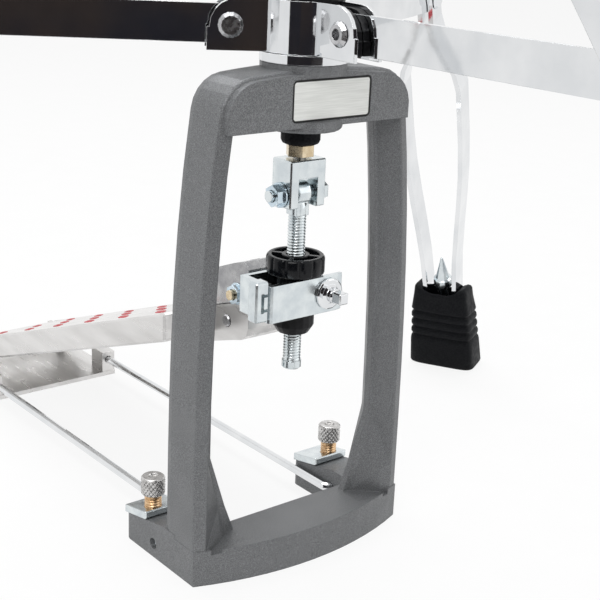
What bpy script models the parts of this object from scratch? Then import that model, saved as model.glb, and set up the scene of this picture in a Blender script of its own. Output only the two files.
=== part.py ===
"""Hi-hat stand: cast arch frame, pull rod linkage, footboard and folding three-leg stand.

Metres, +Z up. The origin is on the floor under the tube's axis. -Y is the side that faces the audience,
and the footboard runs back along +Y.
"""

import math

import bmesh
import bpy
from mathutils import Matrix

# Clearances
SEAT = 0.0003
SLIDE = 0.0004
HOLE_PLAY = 0.0003
OPEN_PIVOT_PLAY = 0.0011
FOLD_PIVOT_PLAY = 0.0026

# Frame casting: outer line seen from the front
FRAME_HALF = 0.0709
SIDE_LEAN = 0.0095
LEAN_HEIGHT = 0.232
LEAN_POWER = 3.2
ARCH_TOP = 0.2655
ARCH_CROWN = 0.0022
CORNER_R = 0.0198
CORNER_START = math.radians(7.5)
CORNER_END = math.radians(84)
POST_FOOT = 0.006
SIDE_STATIONS = 8
CORNER_STATIONS = 5
CROWN_STATIONS = 4

# Frame casting: section of a post, as depth inwards from the outer line and place along Y
POST_SECTION = (
    (0.0, 0.0090),
    (0.0, -0.0125),
    (0.0008, -0.0133),
    (0.0060, -0.0154),
    (0.0069, -0.0150),
    (0.0135, -0.0043),
    (0.0155, -0.0040),
    (0.0155, 0.0003),
    (0.0080, 0.0100),
    (0.0050, 0.0136),
    (0.0025, 0.0142),
    (0.0008, 0.0128),
)
FLARE_START = 0.0069
FLARE_HEIGHT = 0.075
FLARE_DEPTH = 0.022
FLARE_POWER = 2.2

# Frame casting: base bar and feet
BASE_HALF = 0.0710
BASE_CORNER_Y = -0.0136
BASE_BOW = 0.0136
BASE_HEIGHT = 0.020
BASE_REAR = 0.0040
FOOT_INNER = 0.048
FOOT_REAR = 0.053
FOOT_HEIGHT = 0.0225
FOOT_SLOPE_START = 0.016
FOOT_END_HEIGHT = 0.0153
FOOT_CORNER_R = 0.004
POCKET_START = 0.0386
POCKET_END = 0.062
POCKET_DEPTH = 0.0028
POCKET_FRONT = -0.0185
POCKET_REAR = -0.0015
SET_SCREW_R = 0.0032
SET_SCREW_Y = 0.025
SET_SCREW_Z = 0.008
SET_SCREW_DEPTH = 0.009

# Frame casting: panel and hub
PANEL_FRONT = -0.0172
PANEL_REAR = -0.0020
PANEL_BOTTOM = 0.237
PANEL_INSET = 0.0018
HUB_R = 0.021
HUB_TOP_R = 0.022
HUB_BOTTOM = 0.234
HUB_TOP = 0.2672
HUB_TRIM_LOW = 0.2395
HUB_TRIM_HIGH = 0.2615
TUBE_SOCKET_FLOOR = 0.2420

# Badge plate
BADGE_WIDTH = 0.0499
BADGE_HEIGHT = 0.0203
BADGE_X = 0.0055
BADGE_Z = 0.2503
BADGE_THICK = 0.0008
BADGE_SUNK = 0.0002
BADGE_CORNER_R = 0.0022

# Tubes and pull rod
LOWER_TUBE_R = 0.0143
LOWER_TUBE_WALL = 0.0015
LOWER_TUBE_TOP = 0.575
UPPER_TUBE_WALL = 0.0014
UPPER_TUBE_BOTTOM = 0.420
UPPER_TUBE_TOP = 0.800
PULL_ROD_R = 0.0032
PULL_ROD_TOP = 1.010
SPRING_TOP = 0.340
SPRING_OUTER_R = 0.0118
SPRING_INNER_R = 0.0085
SPRING_COLLAR_R = 0.0115
SPRING_COLLAR_H = 0.0057

# Leg hub
FLANGE_R = 0.0225
FLANGE_H = 0.0045
HUB_BODY_R = 0.0193
HUB_BODY_TOP = 0.304
COLLAR_R = 0.0215
COLLAR_TOP = 0.2976
COLLAR_BAND_H = 0.0024
EAR_THICK = 0.0020
EAR_OUTER = 0.0086
EAR_END = 0.049
EAR_CORNER_R = 0.014
CHEEK_INNER = 0.0018
CHEEK_END = 0.0465
CHEEK_TOP = 0.296
HUB_PIVOT_R = 0.0375
HUB_PIVOT_Z = 0.2845
RIVET_R = 0.0031
RIVET_HEAD_R = 0.0063
RIVET_HEAD_H = 0.0020

# Struts and legs
LEG_ANGLES = {"a": math.radians(148.5), "b": math.radians(-91.5), "c": math.radians(28.5)}
STRUT_THICK = 0.0030
STRUT_HEIGHT = 0.0190
KNEE_R = 0.205
KNEE_Z = 0.286
KNEE_PIN_R = 0.0030
KNEE_HEAD_R = 0.0078
KNEE_HEAD_H = 0.0018
STRIP_WIDTH = 0.018
STRIP_THICK = 0.0032
TOP_PIVOT_R = 0.032
TOP_PIVOT_Z = 0.500
TOP_OFFSET = 0.0070
KNEE_OFFSET = 0.0035
BELLY_OFFSET = 0.0200
FOOT_OFFSET = 0.0110
SPREAD_START = 0.272
SPREAD_END = 0.228
CLOSE_START = 0.190
CLOSE_END = 0.070
LEG_FOOT_R = 0.312
LEG_FOOT_Z = 0.025
LEG_END_Z = 0.0165

# Rubber boots and spikes
BOOT_HEIGHT = 0.070
BOOT_FLOOR_R = LEG_FOOT_R + 0.0075
BOOT_LEAN = 0.36
BOOT_HALF_LATERAL = (0.0255, 0.0215)
BOOT_HALF_RADIAL = (0.0178, 0.0155)
BOOT_CORNER_R = 0.0060
BOOT_GROOVES = (0.026, 0.033, 0.040, 0.047)
BOOT_GROOVE_HALF = 0.0016
BOOT_GROOVE_DEPTH = 0.0014
BOOT_POCKET_FLOOR = 0.0125
SPIKE_R = 0.0042
SPIKE_HEAD_R = 0.0068
SPIKE_HEAD_LOW = 0.0600
SPIKE_HEAD_H = 0.0060
SPIKE_TIP = 0.0190

# Leg collar and wing bolts
LEG_COLLAR_R = 0.0195
LEG_COLLAR_LOW = 0.488
LEG_COLLAR_TOP = 0.512
LUG_END = 0.0395
LUG_HALF_H = 0.0095
WING_ANGLE = math.radians(88.5)
WING_SCREW_R = 0.0030
WING_STEM = 0.0060
WING_SPAN = 0.0260
WING_HEIGHT = 0.0120
WING_THICK = 0.0034
HEIGHT_CLAMP_R = 0.0215
HEIGHT_CLAMP_LOW = LOWER_TUBE_TOP - 0.025
HEIGHT_CLAMP_TOP = LOWER_TUBE_TOP + 0.010
HEIGHT_WING_Z = LOWER_TUBE_TOP - 0.012

# Cymbal seat and clutch
SEAT_R = 0.030
SEAT_THICK = 0.0060
SEAT_PLUG = 0.012
SEAT_SLEEVE_R = 0.0070
SEAT_SLEEVE_H = 0.010
FELT_R = 0.024
FELT_THICK = 0.0085
CLUTCH_LOW = PULL_ROD_TOP - 0.098
CLUTCH_NUT_R = 0.012
CLUTCH_NUT_H = 0.006
CLUTCH_SLEEVE_R = 0.0060
CLUTCH_HEAD_LOW = CLUTCH_LOW + 0.027
CLUTCH_HEAD_R = 0.0095
CLUTCH_HEAD_H = 0.026
CLUTCH_FELT_R = 0.019
CLUTCH_FELT_H = 0.009
CLUTCH_SCREW_Z = CLUTCH_HEAD_LOW + 0.015

# Bumper, lock nut and clevis
BUMPER_R = 0.01015
BUMPER_LOW = 0.2255
LOCK_NUT_FLATS = 0.013
LOCK_NUT_LOW = 0.2194
CLEVIS_HALF_X = 0.0115
CLEVIS_HALF_Y = 0.0079
CLEVIS_TOP = 0.2183
CLEVIS_BOTTOM = 0.1935
CLEVIS_SLOT_HALF = 0.0062
CLEVIS_SLOT_TOP = 0.2090
CLEVIS_ROD_DEPTH = 0.0063
CLEVIS_PIVOT_Z = 0.200
CLEVIS_BOLT_R = 0.0030
CLEVIS_BOLT_END = -0.0195
CLEVIS_BOLT_HEAD = 0.0040
CLEVIS_NUT_H = 0.0055

# Pull screw, finger nut and bush
SCREW_R = 0.0048
SCREW_COLLAR_TOP = 0.109
SCREW_END = 0.104
SCREW_COLLAR_R = 0.00525
SCREW_SLOT_HALF = 0.0006
SCREW_SLOT_DEPTH = 0.0026
EYE_R = 0.0062
EYE_HALF = 0.0040
FINGER_NUT_R = 0.0155
FINGER_NUT_LOW = 0.1573
FINGER_NUT_TOP = 0.1673
FINGER_FLUTES = 12
FINGER_FLUTE_DEPTH = 0.0008
FINGER_RECESS_INNER = 0.0074
FINGER_RECESS_OUTER = 0.0126
FINGER_RECESS_DEPTH = 0.0030
BUSH_FLANGE_R = 0.0110
BUSH_R = 0.0096
BUSH_LOW = 0.1250
BUSH_FLANGE_TOP = 0.1362

# Clamp plates round the bush
CLAMP_THICK = 0.0030
CLAMP_LEFT = -0.026
CLAMP_RIGHT = 0.018
CLAMP_LOW = 0.1366
CLAMP_TOP = 0.1564
CLAMP_TIP = 0.0012
CLAMP_LIP = 0.0045
CLAMP_BEND = 0.0060
TAB_INNER = 0.0146
TAB_THICK = 0.0024
TAB_END = 0.0315
HINGE_LEFT = -0.0345
HINGE_LOW = 0.1380
HINGE_TOP = 0.1595
HINGE_FRONT = -0.0125
HINGE_REAR = -0.0050
HINGE_SLOT = 0.0009
KEY_X = 0.0125
KEY_Z = 0.147
KEY_R = 0.0024
KEY_WASHER_R = 0.0085
KEY_WASHER_H = 0.0018
KEY_NECK_R = 0.0040
KEY_NECK_H = 0.0050
KEY_HEAD_HALF = 0.0030
KEY_HEAD_H = 0.0060

# Toe bolt, toe block and footboard
TOE_PIVOT_Y = 0.026
TOE_PIVOT_Z = 0.141
TOE_BOLT_R = 0.0028
TOE_BOLT_END = -0.0235
TOE_NUT_H = 0.0042
TOE_NUT_FLATS = 0.0095
TOE_BLOCK_HALF = 0.0143
TOE_BLOCK_PROFILE = (
    (0.0530, 0.1266),
    (0.0530, 0.1278),
    (0.0600, 0.1253),
    (0.0600, 0.1385),
    (0.0540, 0.1476),
    (0.0346, 0.1554),
    (0.0266, 0.1580),
    (0.0215, 0.1545),
    (0.0205, 0.1480),
    (0.0219, 0.1374),
)
TOE_VALLEY_HALF = 0.0098
TOE_VALLEY_DEPTH = 0.0022
TOE_BOSS_HALF = 0.0034
TOE_PIN_Y = 0.0404
TOE_PIN_Z = 0.1210
TOE_PIN_R = 0.0035
TONGUE_HALF = 0.0140
TONGUE_PROFILE = (
    (0.0680, 0.1000),
    (0.0336, 0.1116),
    (0.0270, 0.1135),
    (0.0225, 0.1170),
    (0.0210, 0.1215),
    (0.0210, 0.1315),
    (0.0223, 0.1369),
    (0.0590, 0.1240),
    (0.0680, 0.1200),
)
BOARD_HALF = 0.0465
BOARD_TOE_Y = 0.0534
BOARD_TOE_Z = 0.1270
BOARD_SLOPE = 0.367
BOARD_SIDE_H = 0.0165
BOARD_WALL = 0.0030
BOARD_TOP_THICK = 0.0037
BOARD_END_WALL = 0.0045
BOARD_TOP_END = 0.333
BOARD_END = 0.352

# Heel plate, radius rods, clamp plates and spur screws
HEEL_PIN_Y = 0.345
HEEL_PIN_Z = 0.0125
HEEL_PIN_R = 0.0030
HEEL_PLATE_HALF = 0.050
HEEL_PLATE_FRONT = 0.268
HEEL_PLATE_REAR = 0.368
HEEL_PLATE_THICK = 0.0030
HEEL_LUG_THICK = 0.0034
HEEL_LUG_HALF_Y = 0.0070
HEEL_LUG_TOP = 0.0182
ROD_BOSS_REAR = 0.284
ROD_BOSS_TOP = 0.0179
ROD_BOSS_HALF = 0.0050
RADIUS_ROD_R = 0.0025
RADIUS_ROD_X = 0.0449
RADIUS_ROD_Z = 0.0120
RADIUS_ROD_TURN_Y = 0.0175
RADIUS_ROD_HOLE = 0.0075
ROD_HOLE_DEPTH = 0.012
FOOT_PLATE_FRONT = 0.0315
FOOT_PLATE_THICK = 0.0044
SPUR_X = 0.0628
SPUR_Y = 0.038
SPUR_R = 0.00475
SPUR_HEAD_R = 0.00675
SPUR_HEAD_LOW = 0.0303
SPUR_HEAD_TOP = 0.0410
SPUR_TIP_Z = 0.0020
SPUR_TIP_H = 0.0040

PARTS_NAME = "hi_hat_stand"


def clear_scene():
    for item in list(bpy.data.objects):
        bpy.data.objects.remove(item, do_unlink=True)


clear_scene()
PARTS = bpy.data.collections.new(PARTS_NAME)
bpy.context.scene.collection.children.link(PARTS)


def material(name, color, roughness, metallic):
    made = bpy.data.materials.new(name)
    made.use_nodes = True
    shader = made.node_tree.nodes["Principled BSDF"]
    shader.inputs["Base Color"].default_value = (*color, 1.0)
    shader.inputs["Roughness"].default_value = roughness
    shader.inputs["Metallic"].default_value = metallic
    return made


PAINT = material("grey_paint", (0.10, 0.10, 0.11), 0.55, 0.3)
CHROME = material("chrome", (0.80, 0.80, 0.82), 0.06, 1.0)
ZINC = material("zinc", (0.72, 0.76, 0.78), 0.22, 1.0)
BRASS = material("brass", (0.62, 0.50, 0.28), 0.30, 1.0)
STEEL = material("steel", (0.55, 0.55, 0.56), 0.30, 1.0)
ALUMINIUM = material("aluminium", (0.60, 0.60, 0.60), 0.30, 1.0)
RUBBER = material("rubber", (0.012, 0.012, 0.012), 0.60, 0.0)
PLASTIC = material("black_plastic", (0.010, 0.010, 0.012), 0.35, 0.0)
FELT = material("felt", (0.30, 0.30, 0.30), 0.95, 0.0)
BADGE = material("badge_silver", (0.70, 0.70, 0.68), 0.30, 0.6)


def place(name, mesh, look):
    obj = bpy.data.objects.new(name, mesh)
    PARTS.objects.link(obj)
    if look is not None:
        mesh.materials.clear()
        mesh.materials.append(look)
    return obj


def tidy_mesh(mesh):
    """Weld what meets and turn every face outwards."""
    work = bmesh.new()
    work.from_mesh(mesh)
    bmesh.ops.remove_doubles(work, verts=work.verts, dist=1e-6)
    bmesh.ops.dissolve_degenerate(work, edges=work.edges, dist=1e-6)
    bmesh.ops.recalc_face_normals(work, faces=work.faces)
    work.to_mesh(mesh)
    work.free()


def applied(obj):
    """The mesh of an object with its modifiers or its bevel and extrusion made real."""
    bpy.context.view_layer.update()
    graph = bpy.context.evaluated_depsgraph_get()
    mesh = bpy.data.meshes.new_from_object(obj.evaluated_get(graph))
    tidy_mesh(mesh)
    return mesh


def bake(obj):
    obj.data = applied(obj)
    obj.modifiers.clear()
    return obj


def from_bmesh(name, work, look):
    mesh = bpy.data.meshes.new(name)
    work.to_mesh(mesh)
    work.free()
    tidy_mesh(mesh)
    return place(name, mesh, look)


def mapped(co, plane, middle):
    """A point of a flat outline put in the plane that it is drawn in."""
    if plane == "XY":
        return co[0], co[1], co[2] + middle
    if plane == "XZ":
        return co[0], co[2] + middle, co[1]
    return co[2] + middle, co[0], co[1]


def flat(name, outline, low, high, plane, look, holes=()):
    """A flat outline with its holes, extruded from low to high along the plane's normal."""
    curve = bpy.data.curves.new(name, "CURVE")
    curve.dimensions = "2D"
    curve.fill_mode = "BOTH"
    curve.extrude = (high - low) / 2
    for loop in (outline, *holes):
        spline = curve.splines.new("POLY")
        spline.points.add(len(loop) - 1)
        for point, (u, v) in zip(spline.points, loop):
            point.co = (u, v, 0, 1)
        spline.use_cyclic_u = True
    drawn = bpy.data.objects.new(name + "_outline", curve)
    PARTS.objects.link(drawn)
    mesh = applied(drawn)
    bpy.data.objects.remove(drawn, do_unlink=True)
    for vertex in mesh.vertices:
        vertex.co = mapped(tuple(vertex.co), plane, (low + high) / 2)
    tidy_mesh(mesh)
    return place(name, mesh, look)


def block(name, low, high, look, bevel=0.0):
    """A box between two corners, with its edges broken by a bevel."""
    work = bmesh.new()
    size = [b - a for a, b in zip(low, high)]
    middle = [(a + b) / 2 for a, b in zip(low, high)]
    matrix = Matrix.Translation(middle) @ Matrix.Diagonal((*size, 1))
    bmesh.ops.create_cube(work, size=1, matrix=matrix)
    obj = from_bmesh(name, work, look)
    return bevelled(obj, bevel) if bevel else obj


def bevelled(obj, width, segments=1, angle=30):
    modifier = obj.modifiers.new("Bevel", "BEVEL")
    modifier.width = width
    modifier.segments = segments
    modifier.limit_method = "ANGLE"
    modifier.angle_limit = math.radians(angle)
    return bake(obj)


AXES = {
    "X": Matrix.Rotation(math.radians(90), 4, "Y"),
    "Y": Matrix.Rotation(math.radians(-90), 4, "X"),
    "Z": Matrix.Identity(4),
}


def turned(name, profile, look, axis="Z", at=(0, 0, 0), steps=18):
    """A profile of radius and height turned about an axis. A profile that starts off the axis is a ring."""
    mesh = bpy.data.meshes.new(name)
    work = bmesh.new()
    points = [work.verts.new((radius, 0, height)) for radius, height in profile]
    pairs = list(zip(points, points[1:]))
    if profile[0][0] > 0:
        pairs.append((points[-1], points[0]))
    for pair in pairs:
        work.edges.new(pair)
    work.to_mesh(mesh)
    work.free()
    obj = place(name, mesh, look)
    screw = obj.modifiers.new("Screw", "SCREW")
    screw.steps = steps
    screw.render_steps = steps
    screw.use_merge_vertices = True
    screw.merge_threshold = 1e-5
    bake(obj)
    obj.data.transform(Matrix.Translation(at) @ AXES[axis])
    if look is not None:
        obj.data.materials.clear()
        obj.data.materials.append(look)
    return obj


def ring(name, outer, inner, low, high, look, **more):
    profile = [(outer, high), (outer, low), (inner, low), (inner, high)]
    return turned(name, profile, look, **more)


def pin(name, radius, low, high, look, **more):
    return turned(name, [(0, high), (radius, high), (radius, low), (0, low)], look, **more)


def loft(name, rings, look):
    """Skin between rings of equal count, closed at both ends."""
    work = bmesh.new()
    rows = [[work.verts.new(point) for point in ring_points] for ring_points in rings]
    count = len(rows[0])
    for first, second in zip(rows, rows[1:]):
        for i in range(count):
            j = (i + 1) % count
            work.faces.new((first[i], first[j], second[j], second[i]))
    work.faces.new(rows[0])
    work.faces.new(rows[-1])
    return from_bmesh(name, work, look)


def combine(target, tool, operation):
    modifier = target.modifiers.new(operation.title(), "BOOLEAN")
    modifier.operation = operation
    modifier.object = tool
    look = target.data.materials[0] if target.data.materials else None
    bake(target)
    bpy.data.objects.remove(tool, do_unlink=True)
    if look is not None:
        target.data.materials.clear()
        target.data.materials.append(look)
    return target


def cut(target, *tools):
    for tool in tools:
        combine(target, tool, "DIFFERENCE")
    return target


def join(target, *tools):
    for tool in tools:
        combine(target, tool, "UNION")
    return target


def turn_about_z(obj, angle):
    obj.data.transform(Matrix.Rotation(angle, 4, "Z"))
    return obj


def arc(center, radius, start, end, steps):
    """Points on an arc, both ends included."""
    found = []
    for i in range(steps + 1):
        angle = start + (end - start) * i / steps
        found.append((center[0] + radius * math.cos(angle), center[1] + radius * math.sin(angle)))
    return found


def hexagon(flats, start=0.0):
    radius = flats / math.sqrt(3)
    return arc((0, 0), radius, start, start + math.radians(300), 5)


def circle(center, radius, steps=14):
    return arc(center, radius, 0, 2 * math.pi * (steps - 1) / steps, steps - 1)


def rounded_box(half_u, half_v, radius, steps=3, center=(0, 0)):
    found = []
    for quarter, (su, sv) in enumerate(((1, 1), (-1, 1), (-1, -1), (1, -1))):
        middle = (center[0] + su * (half_u - radius), center[1] + sv * (half_v - radius))
        start = math.radians(90) * quarter
        found += arc(middle, radius, start, start + math.radians(90), steps)
    return found


def mirrored_x(points):
    return [(-x, y) for x, y in reversed(points)]


def side_x(z):
    """Half width of the casting's outer line at a height below the corner."""
    return FRAME_HALF - SIDE_LEAN * (z / LEAN_HEIGHT) ** LEAN_POWER


def arch_line():
    """The casting's outer line, from the foot of one post over the top to the other."""
    corner_z = ARCH_TOP - ARCH_CROWN - CORNER_R
    corner_low = corner_z + CORNER_R * math.sin(CORNER_START)
    corner_x = side_x(corner_low) - CORNER_R * math.cos(CORNER_START)
    half = []
    for i in range(SIDE_STATIONS):
        z = POST_FOOT + (corner_low - POST_FOOT) * i / SIDE_STATIONS
        half.append((side_x(z), z))
    half += arc((corner_x, corner_z), CORNER_R, CORNER_START, CORNER_END, CORNER_STATIONS)
    crown_x = corner_x + CORNER_R * math.cos(CORNER_END)
    for i in range(1, CROWN_STATIONS):
        x = crown_x * (1 - i / CROWN_STATIONS)
        half.append((x, ARCH_TOP - ARCH_CROWN * (x / corner_x) ** 2))
    return half + [(0, ARCH_TOP)] + mirrored_x(half)


def inward_normals(line):
    """Unit vectors pointing into the casting from each point of its outer line."""
    found = []
    for i in range(len(line)):
        before = line[max(i - 1, 0)]
        after = line[min(i + 1, len(line) - 1)]
        dx, dz = after[0] - before[0], after[1] - before[1]
        length = math.hypot(dx, dz)
        found.append((-dz / length, dx / length))
    return found


def flared(depth, z):
    """Depth of a section point, grown where the post runs into the base bar."""
    if depth <= FLARE_START or z >= FLARE_HEIGHT:
        return depth
    low = max(z, BASE_HEIGHT)
    share = ((FLARE_HEIGHT - low) / (FLARE_HEIGHT - BASE_HEIGHT)) ** FLARE_POWER
    reach = (depth - FLARE_START) / (POST_SECTION[6][0] - FLARE_START)
    return depth + FLARE_DEPTH * share * reach


def post_and_arch():
    line = arch_line()
    rings = []
    for (x, z), (nx, nz) in zip(line, inward_normals(line)):
        rings.append([(x + nx * flared(d, z), y, z + nz * flared(d, z)) for d, y in POST_SECTION])
    return loft("frame_casting", rings, PAINT)


def base_and_feet():
    bow_r = (BASE_HALF**2 + BASE_BOW**2) / (2 * BASE_BOW)
    bow_half = math.asin(BASE_HALF / bow_r)
    bow_center = (0, BASE_CORNER_Y - BASE_BOW + bow_r)
    down = -math.pi / 2
    outline = arc(bow_center, bow_r, down - bow_half, down + bow_half, 14)
    corner = FOOT_CORNER_R
    foot = arc((BASE_HALF - corner, FOOT_REAR - corner), corner, 0, math.pi / 2, 3)
    foot += arc((FOOT_INNER + corner, FOOT_REAR - corner), corner, math.pi / 2, math.pi, 3)
    foot += arc((FOOT_INNER - corner, BASE_REAR + corner), corner, 0, -math.pi / 2, 3)
    outline += foot + mirrored_x(foot)
    base = flat("base", outline, 0, FOOT_HEIGHT + 0.001, "XY", PAINT)
    slope = (FOOT_HEIGHT - FOOT_END_HEIGHT) / (FOOT_REAR - FOOT_SLOPE_START)
    past = FOOT_REAR + 0.005
    over = FOOT_HEIGHT + 0.010
    step_y = BASE_REAR + 0.0005
    top_cut = [
        (-0.040, BASE_HEIGHT),
        (step_y, BASE_HEIGHT),
        (step_y, FOOT_HEIGHT),
        (FOOT_SLOPE_START, FOOT_HEIGHT),
        (past, FOOT_HEIGHT - slope * (past - FOOT_SLOPE_START)),
        (past, over),
        (-0.040, over),
    ]
    cut(base, flat("top_cut", top_cut, -0.1, 0.1, "YZ", None))
    pocket = [
        (POCKET_START, BASE_HEIGHT),
        (POCKET_END, BASE_HEIGHT - POCKET_DEPTH),
        (POCKET_END, over),
        (POCKET_START, over),
    ]
    for outline_points in (pocket, mirrored_x(pocket)):
        cut(base, flat("pocket", outline_points, POCKET_FRONT, POCKET_REAR, "XZ", None))
    return base


def panel():
    line = arch_line()
    outline = []
    for (x, z), (nx, nz) in zip(line, inward_normals(line)):
        if z + nz * PANEL_INSET > PANEL_BOTTOM:
            outline.append((x + nx * PANEL_INSET, z + nz * PANEL_INSET))
    edge = outline[0][0]
    outline = [(edge, PANEL_BOTTOM)] + outline + [(-edge, PANEL_BOTTOM)]
    return flat("panel", outline, PANEL_FRONT, PANEL_REAR, "XZ", PAINT)


def hub():
    profile = [
        (0, HUB_TOP),
        (HUB_TOP_R, HUB_TOP),
        (HUB_TOP_R, HUB_TOP - 0.003),
        (HUB_R, HUB_TOP - 0.007),
        (HUB_R, HUB_BOTTOM + 0.0012),
        (HUB_R - 0.0012, HUB_BOTTOM),
        (0, HUB_BOTTOM),
    ]
    boss = turned("hub", profile, PAINT, steps=20)
    low = (-0.03, -0.04, HUB_TRIM_LOW)
    high = (0.03, PANEL_FRONT + 0.0004, HUB_TRIM_HIGH)
    return cut(boss, block("trim", low, high, None))


def badge_outline(grown):
    half_u = BADGE_WIDTH / 2 + grown
    half_v = BADGE_HEIGHT / 2 + grown
    return rounded_box(half_u, half_v, BADGE_CORNER_R + grown, 3, (BADGE_X, BADGE_Z))


def spur_holes(name, radius):
    low, high = -0.01, 0.05
    return [
        pin(name, radius, low, high, None, at=(side * SPUR_X, SPUR_Y, 0), steps=14)
        for side in (-1, 1)
    ]


def frame_casting():
    frame = post_and_arch()
    join(frame, base_and_feet(), panel(), hub())
    recess_floor = PANEL_FRONT + BADGE_SUNK + BADGE_THICK + SEAT
    badge_cut = flat("badge_cut", badge_outline(SEAT), PANEL_FRONT - 0.01, recess_floor, "XZ", None)
    socket = pin("socket", LOWER_TUBE_R + SEAT, TUBE_SOCKET_FLOOR, HUB_TOP + 0.01, None, steps=20)
    rod_bore = pin("rod_bore", PULL_ROD_R + 0.001, HUB_BOTTOM - 0.01, TUBE_SOCKET_FLOOR + 0.005, None)
    cut(frame, badge_cut, socket, rod_bore)
    cut(frame, *spur_holes("spur_hole", SPUR_R + HOLE_PLAY))
    for side in (-1, 1):
        outer = side * (BASE_HALF + 0.01)
        inner = side * (BASE_HALF - SET_SCREW_DEPTH)
        low, high = sorted((outer, inner))
        at = (0, SET_SCREW_Y, SET_SCREW_Z)
        if side < 0:
            cut(frame, pin("set_hole", SET_SCREW_R, low, high, None, axis="X", at=at, steps=12))
        low, high = sorted((side * (FOOT_INNER - 0.01), side * (FOOT_INNER + RADIUS_ROD_HOLE)))
        at = (0, RADIUS_ROD_TURN_Y, RADIUS_ROD_Z)
        bore = RADIUS_ROD_R + HOLE_PLAY
        cut(frame, pin("rod_hole", bore, low, high, None, axis="X", at=at, steps=10))
    return frame


def badge_plate():
    front = PANEL_FRONT + BADGE_SUNK
    return flat("badge_plate", badge_outline(0), front, front + BADGE_THICK, "XZ", BADGE)


def flange_ring():
    low = HUB_TOP + SEAT
    return ring("flange_ring", FLANGE_R, LOWER_TUBE_R + SEAT, low, low + FLANGE_H, CHROME, steps=24)


def lower_tube():
    inner = LOWER_TUBE_R - LOWER_TUBE_WALL
    low = TUBE_SOCKET_FLOOR + SEAT
    return ring("lower_tube", LOWER_TUBE_R, inner, low, LOWER_TUBE_TOP, CHROME, steps=20)


def hub_low():
    return HUB_TOP + SEAT + FLANGE_H + SEAT


def fork_parts(name, lateral_low, lateral_high, start, end, low, high):
    """One solid on each side of each leg's plane, as a list of boxes turned to the three directions."""
    found = []
    for angle in LEG_ANGLES.values():
        for side in (-1, 1):
            a, b = sorted((side * lateral_low, side * lateral_high))
            made = block(name, (start, a, low), (end, b, high), None)
            found.append(turn_about_z(made, angle))
    return found


def corner_cutter(end, top):
    """A turned cutter that rounds the top outer corner of every ear."""
    center = (end - EAR_CORNER_R, top - EAR_CORNER_R)
    outline = arc(center, EAR_CORNER_R, math.pi / 2, 0, 5)
    outline += [(end + 0.02, center[1]), (end + 0.02, top + 0.02), (center[0], top + 0.02)]
    return turned("corner", outline, None, steps=24)


def pivot_holes(name, radius, at_r, at_z, reach):
    found = []
    for angle in LEG_ANGLES.values():
        made = pin(name, radius, -reach, reach, None, axis="Y", at=(at_r, 0, at_z), steps=12)
        found.append(turn_about_z(made, angle))
    return found


def strut_hub():
    low = hub_low()
    body = ring("strut_hub", HUB_BODY_R, LOWER_TUBE_R + SEAT, low, HUB_BODY_TOP, PLASTIC, steps=24)
    cheek_outer = EAR_OUTER - EAR_THICK - SEAT
    start = LOWER_TUBE_R + 0.003
    cheek_low = low + COLLAR_BAND_H + SEAT
    join(body, *fork_parts("cheek", CHEEK_INNER, cheek_outer, start, CHEEK_END, cheek_low, CHEEK_TOP))
    cut(body, corner_cutter(CHEEK_END, CHEEK_TOP))
    cut(body, *pivot_holes("rivet_hole", RIVET_R + HOLE_PLAY, HUB_PIVOT_R, HUB_PIVOT_Z, 0.012))
    return body


def strut_collar():
    low = hub_low()
    inner = HUB_BODY_R + SEAT
    shell = ring("strut_collar", COLLAR_R, inner, low, COLLAR_TOP, CHROME, steps=24)
    window = EAR_OUTER - EAR_THICK
    for angle in LEG_ANGLES.values():
        corner = (COLLAR_R + 0.005, window, COLLAR_TOP + 0.01)
        gap = block("window", (HUB_BODY_R - 0.004, -window, low + COLLAR_BAND_H), corner, None)
        cut(shell, turn_about_z(gap, angle))
    start = math.sqrt(COLLAR_R**2 - EAR_OUTER**2) - 0.0007
    join(shell, *fork_parts("ear", window, EAR_OUTER, start, EAR_END, low, COLLAR_TOP))
    cut(shell, corner_cutter(EAR_END, COLLAR_TOP))
    cut(shell, *pivot_holes("rivet_hole", RIVET_R + HOLE_PLAY, HUB_PIVOT_R, HUB_PIVOT_Z, 0.02))
    return shell


def hub_rivet(key, angle):
    """A rivet along the leg's lateral axis. The one towards the audience is a hollow eyelet on one side."""
    face = EAR_OUTER + SEAT
    end = face + RIVET_HEAD_H
    crown = RIVET_HEAD_R - 0.0016
    if key == "b":
        bore = RIVET_R - 0.0003
        top = [(0, face - 0.004), (bore, face - 0.004), (bore, end), (crown, end)]
    else:
        top = [(0, end), (crown, end)]
    profile = top + [
        (RIVET_HEAD_R, face),
        (RIVET_R, face),
        (RIVET_R, -face),
        (RIVET_HEAD_R, -face),
        (crown, -end),
        (0, -end),
    ]
    at = (HUB_PIVOT_R, 0, HUB_PIVOT_Z)
    made = turned("hub_rivet_" + key, profile, STEEL, steps=14)
    made.data.transform(Matrix.Translation(at) @ Matrix.Rotation(math.radians(90), 4, "X"))
    return turn_about_z(made, angle)


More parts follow.
